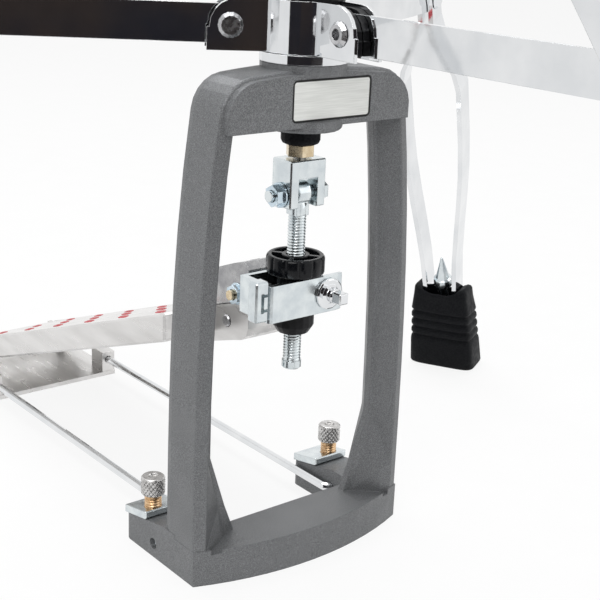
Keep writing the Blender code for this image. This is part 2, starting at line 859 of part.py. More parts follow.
def strut(key, angle):
    """A flat bar with round ends and the knee pin with its two heads."""
    half = STRUT_HEIGHT / 2
    rise = math.atan2(KNEE_Z - HUB_PIVOT_Z, KNEE_R - HUB_PIVOT_R)
    outline = arc((HUB_PIVOT_R, HUB_PIVOT_Z), half, rise + math.pi / 2, rise + 1.5 * math.pi, 8)
    outline += arc((KNEE_R, KNEE_Z), half, rise - math.pi / 2, rise + math.pi / 2, 8)
    hole = circle((HUB_PIVOT_R, HUB_PIVOT_Z), RIVET_R + HOLE_PLAY, 12)
    bar = flat("strut_" + key, outline, -STRUT_THICK / 2, STRUT_THICK / 2, "XZ", CHROME, [hole])
    face = KNEE_OFFSET + STRIP_THICK / 2 + SLIDE
    end = face + KNEE_HEAD_H
    profile = [
        (0, end),
        (KNEE_HEAD_R - 0.0012, end),
        (KNEE_HEAD_R, face),
        (KNEE_PIN_R, face),
        (KNEE_PIN_R, -face),
        (KNEE_HEAD_R, -face),
        (KNEE_HEAD_R - 0.0012, -end),
        (0, -end),
    ]
    join(bar, turned("knee_pin", profile, None, axis="Y", at=(KNEE_R, 0, KNEE_Z), steps=14))
    return turn_about_z(bar, angle)


def smooth(share):
    share = min(max(share, 0.0), 1.0)
    return share * share * (3 - 2 * share)


def strip_offset(z):
    """Distance of a strip's middle from the leg's plane at a height below the knee."""
    spread = smooth((SPREAD_START - z) / (SPREAD_START - SPREAD_END))
    closing = smooth((CLOSE_START - z) / (CLOSE_START - CLOSE_END))
    return KNEE_OFFSET + (BELLY_OFFSET - KNEE_OFFSET) * spread + (FOOT_OFFSET - BELLY_OFFSET) * closing


def leg_radius(z):
    """Distance of a leg's middle from the axis at a height below the knee."""
    return LEG_FOOT_R - (LEG_FOOT_R - KNEE_R) * (z - LEG_FOOT_Z) / (KNEE_Z - LEG_FOOT_Z)


def leg_stations():
    """(r, z, offset, half width) along a strip, from its round top end to its foot."""
    run = math.hypot(KNEE_R - TOP_PIVOT_R, TOP_PIVOT_Z - KNEE_Z)
    ur, uz = (KNEE_R - TOP_PIVOT_R) / run, (KNEE_Z - TOP_PIVOT_Z) / run
    half = STRIP_WIDTH / 2
    found = []
    for back, width in ((half * 0.98, 0.2), (half * 0.80, 0.6), (half * 0.4, 0.9), (0, 1.0)):
        found.append((TOP_PIVOT_R - back * ur, TOP_PIVOT_Z - back * uz, TOP_OFFSET, half * width))
    for share in (0.08, 0.90, 1.0):
        offset = TOP_OFFSET + (KNEE_OFFSET - TOP_OFFSET) * smooth((share - 0.08) / 0.82)
        found.append((TOP_PIVOT_R + ur * run * share, TOP_PIVOT_Z + uz * run * share, offset, half))
    drops = [SPREAD_START + (SPREAD_END - SPREAD_START) * i / 4 for i in range(5)]
    drops += [CLOSE_START + (CLOSE_END - CLOSE_START) * i / 5 for i in range(6)]
    for z in drops + [LEG_END_Z]:
        found.append((leg_radius(z), z, strip_offset(z), half))
    return found


def leg_strip(name, side, angle):
    stations = leg_stations()
    rings = []
    for i, (r, z, offset, half) in enumerate(stations):
        before = stations[max(i - 1, 0)]
        after = stations[min(i + 1, len(stations) - 1)]
        dr, dz = after[0] - before[0], after[1] - before[1]
        length = math.hypot(dr, dz)
        wr, wz = -dz / length * half, dr / length * half
        a = side * offset - STRIP_THICK / 2
        b = side * offset + STRIP_THICK / 2
        rings.append([(r - wr, a, z - wz), (r + wr, a, z + wz), (r + wr, b, z + wz), (r - wr, b, z - wz)])
    strip = loft(name, rings, CHROME)
    top_hole = pin("top_hole", RIVET_R + HOLE_PLAY, -0.02, 0.02, None, axis="Y",
                   at=(TOP_PIVOT_R, 0, TOP_PIVOT_Z), steps=12)
    knee_hole = pin("knee_hole", KNEE_PIN_R + FOLD_PIVOT_PLAY, -0.008, 0.008, None, axis="Y",
                    at=(KNEE_R, 0, KNEE_Z), steps=14)
    cut(strip, top_hole, knee_hole)
    return turn_about_z(strip, angle)


def boot_ring(z, inset):
    share = z / BOOT_HEIGHT
    lateral = BOOT_HALF_LATERAL[0] + (BOOT_HALF_LATERAL[1] - BOOT_HALF_LATERAL[0]) * share - inset
    radial = BOOT_HALF_RADIAL[0] + (BOOT_HALF_RADIAL[1] - BOOT_HALF_RADIAL[0]) * share - inset
    center = (BOOT_FLOOR_R - BOOT_LEAN * z, 0)
    return [(r, y, z) for r, y in rounded_box(radial, lateral, BOOT_CORNER_R, 1, center)]


def boot(key, angle):
    levels = [(0.0, 0.0010), (0.0015, 0.0)]
    for groove in BOOT_GROOVES:
        levels += [
            (groove - BOOT_GROOVE_HALF, 0.0),
            (groove - BOOT_GROOVE_HALF / 2, BOOT_GROOVE_DEPTH),
            (groove + BOOT_GROOVE_HALF / 2, BOOT_GROOVE_DEPTH),
            (groove + BOOT_GROOVE_HALF, 0.0),
        ]
    levels += [(BOOT_HEIGHT - 0.0025, 0.0), (BOOT_HEIGHT, 0.0020)]
    made = loft("boot_" + key, [boot_ring(z, inset) for z, inset in levels], RUBBER)
    slant = math.hypot(KNEE_R - LEG_FOOT_R, KNEE_Z - LEG_FOOT_Z) / (KNEE_Z - LEG_FOOT_Z)
    half_r = STRIP_WIDTH / 2 * slant + SLIDE
    half_y = FOOT_OFFSET + STRIP_THICK / 2 + SLIDE
    rings = []
    for z in (BOOT_POCKET_FLOOR, BOOT_HEIGHT + 0.01):
        middle = leg_radius(z)
        corners = ((-1, -1), (1, -1), (1, 1), (-1, 1))
        rings.append([(middle + a * half_r, b * half_y, z) for a, b in corners])
    cut(made, loft("pocket", rings, None))
    return turn_about_z(made, angle)


def spike(key, angle):
    """A threaded spike kept point up between the strips, on the floor of the boot's pocket."""
    lean = math.atan2(LEG_FOOT_R - KNEE_R, KNEE_Z - LEG_FOOT_Z)
    start = BOOT_POCKET_FLOOR + SEAT + SPIKE_R * math.sin(lean)
    head = SPIKE_HEAD_LOW + SPIKE_HEAD_H
    profile = [
        (0, head + SPIKE_TIP),
        (0.0008, head + SPIKE_TIP - 0.0006),
        (SPIKE_HEAD_R - 0.0016, head + 0.0010),
        (SPIKE_HEAD_R, head),
        (SPIKE_HEAD_R, SPIKE_HEAD_LOW),
        (SPIKE_R, SPIKE_HEAD_LOW),
        (SPIKE_R, 0),
        (0, 0),
    ]
    made = turned("spike_" + key, profile, ZINC, steps=12)
    made.data.transform(
        Matrix.Translation((leg_radius(start), 0, start)) @ Matrix.Rotation(-lean, 4, "Y")
    )
    return turn_about_z(made, angle)


def leg_collar():
    bore = LOWER_TUBE_R + SLIDE
    made = ring("leg_collar", LEG_COLLAR_R, bore, LEG_COLLAR_LOW, LEG_COLLAR_TOP, PLASTIC, steps=20)
    lug_half = TOP_OFFSET - STRIP_THICK / 2 - SLIDE
    pin_reach = TOP_OFFSET + STRIP_THICK / 2 + 0.0010
    low, high = TOP_PIVOT_Z - LUG_HALF_H, TOP_PIVOT_Z + LUG_HALF_H
    for angle in LEG_ANGLES.values():
        start = LOWER_TUBE_R + 0.002
        lug = block("lug", (start, -lug_half, low), (LUG_END, lug_half, high), None, bevel=0.002)
        join(made, turn_about_z(lug, angle))
        stub = pin("lug_pin", RIVET_R, -pin_reach, pin_reach, None, axis="Y",
                   at=(TOP_PIVOT_R, 0, TOP_PIVOT_Z), steps=12)
        join(made, turn_about_z(stub, angle))
    return cut(made, radial_hole(WING_SCREW_R + HOLE_PLAY, TOP_PIVOT_Z, LEG_COLLAR_R))


def radial_hole(radius, z, reach):
    made = pin("radial_hole", radius, LOWER_TUBE_R - 0.003, reach + 0.01, None, axis="X", at=(0, 0, z), steps=12)
    return turn_about_z(made, WING_ANGLE)


def wing_bolt(name, tip, seat, z):
    """A screw along a radius of the tube, from its tip out to a flat two-eared wing."""
    made = pin(name, WING_SCREW_R, tip, seat + WING_STEM, ZINC, axis="X", at=(0, 0, z), steps=12)
    base = seat + WING_STEM - 0.003
    boss_half = WING_THICK
    boss_end = base + WING_HEIGHT * 0.7
    half = WING_SPAN / 2
    outline = [
        (base, -boss_half),
        (base + 0.004, -half * 0.55),
        (base + WING_HEIGHT, -half),
        (base + WING_HEIGHT + 0.003, -half * 0.75),
        (boss_end, -boss_half),
        (boss_end, boss_half),
        (base + WING_HEIGHT + 0.003, half * 0.75),
        (base + WING_HEIGHT, half),
        (base + 0.004, half * 0.55),
        (base, boss_half),
    ]
    join(made, flat("wings", outline, z - WING_THICK / 2, z + WING_THICK / 2, "XY", None))
    return turn_about_z(made, WING_ANGLE)


def upper_tube_r():
    return LOWER_TUBE_R - LOWER_TUBE_WALL - SLIDE


def height_clamp():
    outer, bore = HEIGHT_CLAMP_R, LOWER_TUBE_R + SEAT
    step = LOWER_TUBE_TOP + SEAT
    profile = [
        (outer - 0.002, HEIGHT_CLAMP_TOP),
        (outer, HEIGHT_CLAMP_TOP - 0.002),
        (outer, HEIGHT_CLAMP_LOW + 0.002),
        (outer - 0.002, HEIGHT_CLAMP_LOW),
        (bore, HEIGHT_CLAMP_LOW),
        (bore, step),
        (upper_tube_r() + SLIDE, step),
        (upper_tube_r() + SLIDE, HEIGHT_CLAMP_TOP),
    ]
    made = turned("height_clamp", profile, PLASTIC, steps=20)
    return cut(made, radial_hole(WING_SCREW_R + HOLE_PLAY, HEIGHT_WING_Z, HEIGHT_CLAMP_R))


def upper_tube():
    outer = upper_tube_r()
    inner = outer - UPPER_TUBE_WALL
    return ring("upper_tube", outer, inner, UPPER_TUBE_BOTTOM, UPPER_TUBE_TOP, CHROME, steps=18)


def rod_bore_r():
    return PULL_ROD_R + HOLE_PLAY


def cymbal_seat():
    plug = upper_tube_r() - UPPER_TUBE_WALL - SEAT
    low = UPPER_TUBE_TOP + SEAT
    top = low + SEAT_THICK
    bore = PULL_ROD_R + 0.0010
    profile = [
        (SEAT_SLEEVE_R, top + SEAT_SLEEVE_H),
        (SEAT_SLEEVE_R, top),
        (SEAT_R - 0.001, top),
        (SEAT_R, top - 0.0015),
        (SEAT_R - 0.008, low),
        (plug, low),
        (plug, low - SEAT_PLUG),
        (bore, low - SEAT_PLUG),
        (bore, top + SEAT_SLEEVE_H),
    ]
    return turned("cymbal_seat", profile, PLASTIC, steps=20)


def seat_felt():
    low = UPPER_TUBE_TOP + SEAT + SEAT_THICK + SEAT
    return ring("seat_felt", FELT_R, SEAT_SLEEVE_R + SEAT, low, low + FELT_THICK, FELT, steps=20)


def clutch_body():
    head_top = CLUTCH_HEAD_LOW + CLUTCH_HEAD_H
    nut_top = CLUTCH_LOW + CLUTCH_NUT_H
    profile = [
        (CLUTCH_HEAD_R - 0.001, head_top),
        (CLUTCH_HEAD_R, head_top - 0.001),
        (CLUTCH_HEAD_R, CLUTCH_HEAD_LOW + 0.002),
        (CLUTCH_HEAD_R + 0.003, CLUTCH_HEAD_LOW + 0.002),
        (CLUTCH_HEAD_R + 0.003, CLUTCH_HEAD_LOW),
        (CLUTCH_SLEEVE_R, CLUTCH_HEAD_LOW),
        (CLUTCH_SLEEVE_R, nut_top),
        (CLUTCH_NUT_R, nut_top),
        (CLUTCH_NUT_R, CLUTCH_LOW),
        (rod_bore_r(), CLUTCH_LOW),
        (rod_bore_r(), head_top),
    ]
    made = turned("clutch_body", profile, CHROME, steps=14)
    hole = pin("screw_hole", WING_SCREW_R + HOLE_PLAY, 0, 0.03, None, axis="X",
               at=(0, 0, CLUTCH_SCREW_Z), steps=12)
    return cut(made, turn_about_z(hole, WING_ANGLE))


def clutch_felt():
    high = CLUTCH_HEAD_LOW - SEAT
    inner = CLUTCH_SLEEVE_R + SEAT
    return ring("clutch_felt", CLUTCH_FELT_R, inner, high - CLUTCH_FELT_H, high, FELT, steps=18)


def return_spring():
    low = TUBE_SOCKET_FLOOR + SEAT
    return ring("return_spring", SPRING_OUTER_R, SPRING_INNER_R, low, SPRING_TOP, STEEL, steps=12)


def pull_rod():
    collar_low = SPRING_TOP + SEAT
    low = CLEVIS_TOP - CLEVIS_ROD_DEPTH + SEAT
    profile = [
        (0, PULL_ROD_TOP),
        (PULL_ROD_R - 0.0008, PULL_ROD_TOP),
        (PULL_ROD_R, PULL_ROD_TOP - 0.001),
        (PULL_ROD_R, collar_low + SPRING_COLLAR_H),
        (SPRING_COLLAR_R, collar_low + SPRING_COLLAR_H),
        (SPRING_COLLAR_R, collar_low),
        (PULL_ROD_R, collar_low),
        (PULL_ROD_R, low),
        (0, low),
    ]
    return turned("pull_rod", profile, STEEL, steps=12)


def bumper():
    high = HUB_BOTTOM - SEAT
    profile = [
        (BUMPER_R, high),
        (BUMPER_R, BUMPER_LOW + 0.0022),
        (BUMPER_R - 0.0007, BUMPER_LOW + 0.0007),
        (BUMPER_R - 0.0022, BUMPER_LOW),
        (rod_bore_r(), BUMPER_LOW),
        (rod_bore_r(), high),
    ]
    return turned("bumper", profile, RUBBER, steps=18)


def lock_nut():
    hole = circle((0, 0), rod_bore_r(), 12)
    high = BUMPER_LOW - SEAT
    return flat("lock_nut", hexagon(LOCK_NUT_FLATS), LOCK_NUT_LOW, high, "XY", BRASS, [hole])


def clevis():
    low = (-CLEVIS_HALF_X, -CLEVIS_HALF_Y, CLEVIS_BOTTOM)
    high = (CLEVIS_HALF_X, CLEVIS_HALF_Y, CLEVIS_TOP)
    made = block("clevis", low, high, ZINC, bevel=0.0007)
    slot_low = (-CLEVIS_SLOT_HALF, -0.02, CLEVIS_BOTTOM - 0.01)
    slot = block("slot", slot_low, (CLEVIS_SLOT_HALF, 0.02, CLEVIS_SLOT_TOP), None)
    floor = CLEVIS_TOP - CLEVIS_ROD_DEPTH
    bore = pin("bore", rod_bore_r(), floor, CLEVIS_TOP + 0.01, None, steps=12)
    hole = pin("hole", CLEVIS_BOLT_R + HOLE_PLAY, -0.03, 0.03, None, axis="X",
               at=(0, 0, CLEVIS_PIVOT_Z), steps=12)
    return cut(made, slot, bore, hole)


def bolt_x(name, radius, start, seat, head_h, flats, at, look):
    """A hexagon-headed bolt along X, with its head at the +X end."""
    made = pin(name, radius, start, seat + head_h / 2, look, axis="X", at=(0, *at), steps=12)
    outline = [(at[0] + u, at[1] + v) for u, v in hexagon(flats, math.radians(30))]
    return join(made, flat("head", outline, seat, seat + head_h, "YZ", None))


def nut_x(name, bore, seat, height, flats, flange_r, at, look):
    """A flanged hexagon nut along X, standing out towards -X from its seat."""
    flange = 0.0012
    outline = [(at[0] + u, at[1] + v) for u, v in hexagon(flats, math.radians(30))]
    hole = circle(at, bore, 12)
    made = flat(name, outline, seat - height, seat - flange / 2, "YZ", look, [hole])
    rim_bore = bore + 0.0002
    profile = [(flange_r, 0), (flange_r, -flange), (rim_bore, -flange), (rim_bore, 0)]
    rim = turned("rim", profile, None, steps=14)
    rim.data.transform(Matrix.Translation((seat, *at)) @ AXES["X"])
    return join(made, rim)


def clevis_bolt():
    seat = CLEVIS_HALF_X + SEAT
    at = (0, CLEVIS_PIVOT_Z)
    return bolt_x("clevis_bolt", CLEVIS_BOLT_R, CLEVIS_BOLT_END, seat, CLEVIS_BOLT_HEAD, 0.010, at, ZINC)


def clevis_nut():
    seat = -CLEVIS_HALF_X - SEAT
    bore = CLEVIS_BOLT_R + HOLE_PLAY
    return nut_x("clevis_nut", bore, seat, CLEVIS_NUT_H, 0.010, 0.0066, (0, CLEVIS_PIVOT_Z), ZINC)


def threaded_rod():
    """The pull screw: a rod with an eye on top and a slotted collar at its end."""
    neck = CLEVIS_PIVOT_Z - EYE_R - 0.002
    profile = [
        (0, neck + 0.004),
        (SCREW_R, neck + 0.004),
        (SCREW_R, SCREW_COLLAR_TOP),
        (SCREW_COLLAR_R, SCREW_COLLAR_TOP - 0.0004),
        (SCREW_COLLAR_R, SCREW_END + 0.0010),
        (SCREW_COLLAR_R - 0.0010, SCREW_END),
        (0, SCREW_END),
    ]
    made = turned("threaded_rod", profile, ZINC, steps=14)
    eye = pin("eye", EYE_R, -EYE_HALF, EYE_HALF, None, axis="X", at=(0, 0, CLEVIS_PIVOT_Z), steps=18)
    neck_half = SCREW_R - 0.0002
    stem = block("stem", (-EYE_HALF, -neck_half, neck - 0.004), (EYE_HALF - 0.0001, neck_half, CLEVIS_PIVOT_Z), None)
    hole = pin("hole", CLEVIS_BOLT_R + HOLE_PLAY, -0.03, 0.03, None, axis="X",
               at=(0, 0, CLEVIS_PIVOT_Z), steps=12)
    slot_high = (0.01, SCREW_SLOT_HALF, SCREW_END + SCREW_SLOT_DEPTH)
    slot = block("slot", (-0.01, -SCREW_SLOT_HALF, SCREW_END - 0.01), slot_high, None)
    join(made, eye, stem)
    return cut(made, hole, slot)


def finger_nut():
    outline = []
    for i in range(FINGER_FLUTES):
        start = 2 * math.pi * i / FINGER_FLUTES
        step = 2 * math.pi / FINGER_FLUTES
        for share, depth in ((0.0, 1.0), (0.25, 0.0), (0.75, 0.0)):
            radius = FINGER_NUT_R - FINGER_FLUTE_DEPTH * depth
            angle = start + step * share
            outline.append((radius * math.cos(angle), radius * math.sin(angle)))
    hole = circle((0, 0), SCREW_R + HOLE_PLAY, 14)
    made = flat("finger_nut", outline, FINGER_NUT_LOW, FINGER_NUT_TOP, "XY", PLASTIC, [hole])
    floor = FINGER_NUT_TOP - FINGER_RECESS_DEPTH
    recess = [
        (FINGER_RECESS_OUTER, FINGER_NUT_TOP + 0.01),
        (FINGER_RECESS_OUTER, floor),
        (FINGER_RECESS_INNER, floor),
        (FINGER_RECESS_INNER, FINGER_NUT_TOP + 0.01),
    ]
    return cut(made, turned("recess", recess, None, steps=18))


def clamp_bush():
    high = FINGER_NUT_LOW - SEAT
    bore = SCREW_R + HOLE_PLAY
    profile = [
        (BUSH_R, high),
        (BUSH_R, BUSH_FLANGE_TOP),
        (BUSH_FLANGE_R, BUSH_FLANGE_TOP),
        (BUSH_FLANGE_R, BUSH_LOW + 0.004),
        (BUSH_FLANGE_R - 0.0025, BUSH_LOW),
        (bore, BUSH_LOW),
        (bore, high),
    ]
    return turned("clamp_bush", profile, PLASTIC, steps=18)


def key_hole():
    return pin("key_hole", KEY_R + HOLE_PLAY, -0.03, 0.03, None, axis="Y", at=(KEY_X, 0, KEY_Z), steps=12)


def clamp_front_plate():
    """A flat strap in front of the bush, with its left end bent back and a lip at its right end."""
    inner = -(BUSH_R + SEAT)
    outer = inner - CLAMP_THICK
    bend = 0.0020
    outline = [
        (CLAMP_RIGHT, outer),
        (CLAMP_RIGHT + CLAMP_LIP, outer + CLAMP_TIP),
        (CLAMP_RIGHT + CLAMP_LIP, inner),
        (CLAMP_LEFT + 0.004, inner),
        (CLAMP_LEFT + 0.004, inner + CLAMP_BEND),
        (CLAMP_LEFT, inner + CLAMP_BEND),
        (CLAMP_LEFT, outer + bend),
        (CLAMP_LEFT + bend * 0.3, outer + bend * 0.3),
        (CLAMP_LEFT + bend, outer),
    ]
    made = flat("clamp_front_plate", outline, CLAMP_LOW, CLAMP_TOP, "XY", ZINC)
    return cut(made, key_hole())


def clamp_rear_plate():
    """The strap behind the bush, with the two tabs that hold the toe bolt."""
    inner = BUSH_R + SEAT
    outer = inner + CLAMP_THICK
    made = block("clamp_rear_plate", (CLAMP_LEFT, inner, CLAMP_LOW), (CLAMP_RIGHT, outer, CLAMP_TOP), ZINC)
    bent_low = (CLAMP_LEFT, -inner + CLAMP_BEND + SEAT, CLAMP_LOW)
    join(made, block("bent_end", bent_low, (CLAMP_LEFT + CLAMP_THICK, inner + CLAMP_THICK / 2, CLAMP_TOP), None))
    for side in (-1, 1):
        a, b = sorted((side * TAB_INNER, side * (TAB_INNER + TAB_THICK)))
        radius = TAB_END - TOE_PIVOT_Y
        outline = [(outer - 0.001, CLAMP_LOW + 0.001), (TOE_PIVOT_Y, TOE_PIVOT_Z - radius)]
        outline += arc((TOE_PIVOT_Y, TOE_PIVOT_Z), radius, math.radians(-72), math.radians(90), 6)
        outline += [(outer - 0.001, TOE_PIVOT_Z + radius)]
        join(made, flat("tab", outline, a, b, "YZ", None))
    toe_hole = pin("toe_hole", TOE_BOLT_R + HOLE_PLAY, -0.03, 0.03, None, axis="X",
                   at=(0, TOE_PIVOT_Y, TOE_PIVOT_Z), steps=12)
    return cut(made, key_hole(), toe_hole)


def hinge_piece():
    right = CLAMP_LEFT - SEAT
    made = block("hinge_piece", (HINGE_LEFT, HINGE_FRONT, HINGE_LOW), (right, HINGE_REAR, HINGE_TOP), ZINC, bevel=0.0009)
    middle = (HINGE_LEFT + right) / 2
    depth = HINGE_FRONT + 0.004
    low_z, high_z = HINGE_LOW + 0.005, HINGE_TOP - 0.006
    upright = block("slot", (middle - HINGE_SLOT, HINGE_FRONT - 0.01, low_z), (middle + HINGE_SLOT, depth, high_z), None)
    cut(made, upright)
    for z in (low_z + 0.0005, high_z - 0.0021):
        corner = (middle + HINGE_SLOT + 0.0022, depth - 0.0004, z + 0.0016)
        cut(made, block("slot", (middle - HINGE_SLOT * 0.5, HINGE_FRONT - 0.01, z), corner, None))
    return made


def key_bolt():
    """The clamp's square-headed key bolt with its washer, along Y."""
    face = -(BUSH_R + SEAT + CLAMP_THICK) - SEAT
    end = BUSH_R + SEAT + CLAMP_THICK + 0.0012
    washer = face - KEY_WASHER_H
    neck = washer - KEY_NECK_H
    profile = [
        (0, end),
        (KEY_R, end),
        (KEY_R, face),
        (KEY_WASHER_R, face),
        (KEY_WASHER_R, washer + 0.0006),
        (KEY_WASHER_R - 0.0008, washer),
        (KEY_NECK_R + 0.0015, washer),
        (KEY_NECK_R, washer - 0.0012),
        (KEY_NECK_R, neck + 0.001),
        (KEY_NECK_R - 0.001, neck),
        (0, neck),
    ]
    made = turned("key_bolt", profile, CHROME, steps=14)
    made.data.transform(Matrix.Translation((KEY_X, 0, KEY_Z)) @ AXES["Y"])
    half = KEY_HEAD_HALF
    head = block("head", (KEY_X - half, neck - KEY_HEAD_H, KEY_Z - half), (KEY_X + half, neck + 0.001, KEY_Z + half),
                 None, bevel=0.0006)
    return join(made, head)


def toe_bolt():
    seat = TAB_INNER + TAB_THICK + SEAT
    at = (TOE_PIVOT_Y, TOE_PIVOT_Z)
    return bolt_x("toe_bolt", TOE_BOLT_R, TOE_BOLT_END, seat, 0.0035, TOE_NUT_FLATS, at, ZINC)


def toe_nut():
    seat = -(TAB_INNER + TAB_THICK + SEAT)
    bore = TOE_BOLT_R + HOLE_PLAY
    return nut_x("toe_nut", bore, seat, TOE_NUT_H, TOE_NUT_FLATS, 0.0062, (TOE_PIVOT_Y, TOE_PIVOT_Z), ZINC)


def toe_block():
    """The inclined block on the footboard's tongue, with a sunk top and a slotted boss."""
    half = TOE_BLOCK_HALF
    made = flat("toe_block", TOE_BLOCK_PROFILE, -half, half, "YZ", ALUMINIUM)
    top_start, top_end = TOE_BLOCK_PROFILE[4], TOE_BLOCK_PROFILE[5]
    slope = (top_end[1] - top_start[1]) / (top_end[0] - top_start[0])
    start_y, end_y = top_start[0] + 0.01, top_end[0] + 0.001
    floor_start = top_start[1] + slope * (start_y - top_start[0]) - TOE_VALLEY_DEPTH
    floor_end = top_start[1] + slope * (end_y - top_start[0]) - TOE_VALLEY_DEPTH
    valley = [(start_y, floor_start), (start_y, 0.17), (end_y, 0.17), (end_y, floor_end)]
    cut(made, flat("valley", valley, -TOE_VALLEY_HALF, TOE_VALLEY_HALF, "YZ", None))
    ridge = [
        (top_start[0] - 0.003, top_start[1] + slope * -0.003 - TOE_VALLEY_DEPTH - 0.001),
        (top_start[0] - 0.003, top_start[1] + slope * -0.003 - TOE_VALLEY_DEPTH + 0.0005),
        (end_y - 0.001, floor_end + TOE_VALLEY_DEPTH + 0.0005),
        (end_y - 0.001, floor_end - 0.001),
    ]
    join(made, flat("boss", ridge, -TOE_BOSS_HALF, TOE_BOSS_HALF, "YZ", None))
    hole = pin("toe_hole", TOE_BOLT_R + OPEN_PIVOT_PLAY, -0.03, 0.03, None, axis="X",
               at=(0, TOE_PIVOT_Y, TOE_PIVOT_Z), steps=14)
    return cut(made, hole)


def toe_pin():
    half = TONGUE_HALF + 0.0010
    at = (0, TOE_PIN_Y, TOE_PIN_Z)
    profile = [(0, half), (TOE_PIN_R - 0.0007, half), (TOE_PIN_R, half - 0.0007), (TOE_PIN_R, -half + 0.0007),
               (TOE_PIN_R - 0.0007, -half), (0, -half)]
    return turned("toe_pin", profile, STEEL, axis="X", at=at, steps=12)


def board_top(y):
    return BOARD_TOE_Z - BOARD_SLOPE * (y - BOARD_TOE_Y)


def footboard():
    """An open-bottomed channel with heel ears and the tongue at its toe."""
    toe, end = BOARD_TOE_Y, BOARD_END
    side = [
        (toe, board_top(toe)),
        (HEEL_PIN_Y + 0.003, board_top(HEEL_PIN_Y + 0.003)),
        (end, board_top(end) - 0.002),
        (end + 0.0005, HEEL_PIN_Z - 0.002),
        (end - 0.003, HEEL_PIN_Z - 0.0065),
        (end - 0.009, board_top(end - 0.009) - BOARD_SIDE_H),
        (toe, board_top(toe) - BOARD_SIDE_H),
    ]
    made = flat("footboard", side, -BOARD_HALF, BOARD_HALF, "YZ", ALUMINIUM)
    bevelled(made, 0.0012)
    inner = BOARD_HALF - BOARD_WALL
    start = toe + BOARD_END_WALL
    under = [
        (start, board_top(start) - BOARD_TOP_THICK),
        (BOARD_TOP_END, board_top(BOARD_TOP_END) - BOARD_TOP_THICK),
        (BOARD_TOP_END, board_top(BOARD_TOP_END) + 0.02),
        (end + 0.02, board_top(BOARD_TOP_END) + 0.02),
        (end + 0.02, -0.03),
        (BOARD_TOP_END, -0.03),
        (start, board_top(start) - BOARD_SIDE_H - 0.03),
    ]
    cut(made, flat("under", under, -inner, inner, "YZ", None))
    join(made, flat("tongue", TONGUE_PROFILE, -TONGUE_HALF, TONGUE_HALF, "YZ", None))
    heel = pin("heel_hole", HEEL_PIN_R + SLIDE, -0.06, 0.06, None, axis="X",
               at=(0, HEEL_PIN_Y, HEEL_PIN_Z), steps=12)
    toe_hole = pin("toe_pin_hole", TOE_PIN_R + HOLE_PLAY, -0.03, 0.03, None, axis="X",
                   at=(0, TOE_PIN_Y, TOE_PIN_Z), steps=12)
    return cut(made, heel, toe_hole)


def heel_plate():
    """The floor plate with two lugs, the heel pin, and a boss for the end of each radius rod."""
    low = (-HEEL_PLATE_HALF, HEEL_PLATE_FRONT, 0)
    high = (HEEL_PLATE_HALF, HEEL_PLATE_REAR, HEEL_PLATE_THICK)
    made = block("heel_plate", low, high, ALUMINIUM)
    outer = BOARD_HALF - BOARD_WALL - SLIDE
    for side in (-1, 1):
        a, b = sorted((side * outer, side * (outer - HEEL_LUG_THICK)))
        lug_low = (a, HEEL_PIN_Y - HEEL_LUG_HALF_Y, HEEL_PLATE_THICK / 2)
        join(made, block("lug", lug_low, (b, HEEL_PIN_Y + HEEL_LUG_HALF_Y, HEEL_LUG_TOP), None))
        x = side * RADIUS_ROD_X
        boss_low = (x - ROD_BOSS_HALF, HEEL_PLATE_FRONT + 0.0005, HEEL_PLATE_THICK / 2)
        join(made, block("rod_boss", boss_low, (x + ROD_BOSS_HALF, ROD_BOSS_REAR, ROD_BOSS_TOP), None))
    reach = BOARD_HALF + 0.001
    join(made, pin("heel_pin", HEEL_PIN_R, -reach, reach, None, axis="X",
                   at=(0, HEEL_PIN_Y, HEEL_PIN_Z), steps=12))
    for side in (-1, 1):
        hole = pin("rod_hole", RADIUS_ROD_R + HOLE_PLAY, HEEL_PLATE_FRONT - 0.01,
                   HEEL_PLATE_FRONT + ROD_HOLE_DEPTH, None, axis="Y", at=(side * RADIUS_ROD_X, 0, RADIUS_ROD_Z), steps=10)
        cut(made, hole)
    return made


def radius_rod(name, side):
    """A round rod from the heel plate to the foot, with its front end bent outwards into the foot."""
    bend = 0.0030
    rear = HEEL_PLATE_FRONT + ROD_HOLE_DEPTH - SEAT
    tip = FOOT_INNER + RADIUS_ROD_HOLE - SEAT
    route = [(RADIUS_ROD_X, rear), (RADIUS_ROD_X, rear / 2), (RADIUS_ROD_X, RADIUS_ROD_TURN_Y + bend)]
    route += arc((RADIUS_ROD_X + bend, RADIUS_ROD_TURN_Y + bend), bend, math.pi, 1.5 * math.pi, 4)[1:]
    route += [(tip, RADIUS_ROD_TURN_Y)]
    curve = bpy.data.curves.new(name, "CURVE")
    curve.dimensions = "3D"
    curve.bevel_depth = RADIUS_ROD_R
    curve.bevel_resolution = 2
    curve.use_fill_caps = True
    spline = curve.splines.new("POLY")
    spline.points.add(len(route) - 1)
    for point, (x, y) in zip(spline.points, route):
        point.co = (side * x, y, RADIUS_ROD_Z, 1)
    drawn = bpy.data.objects.new(name + "_route", curve)
    PARTS.objects.link(drawn)
    mesh = applied(drawn)
    bpy.data.objects.remove(drawn, do_unlink=True)
    return place(name, mesh, STEEL)


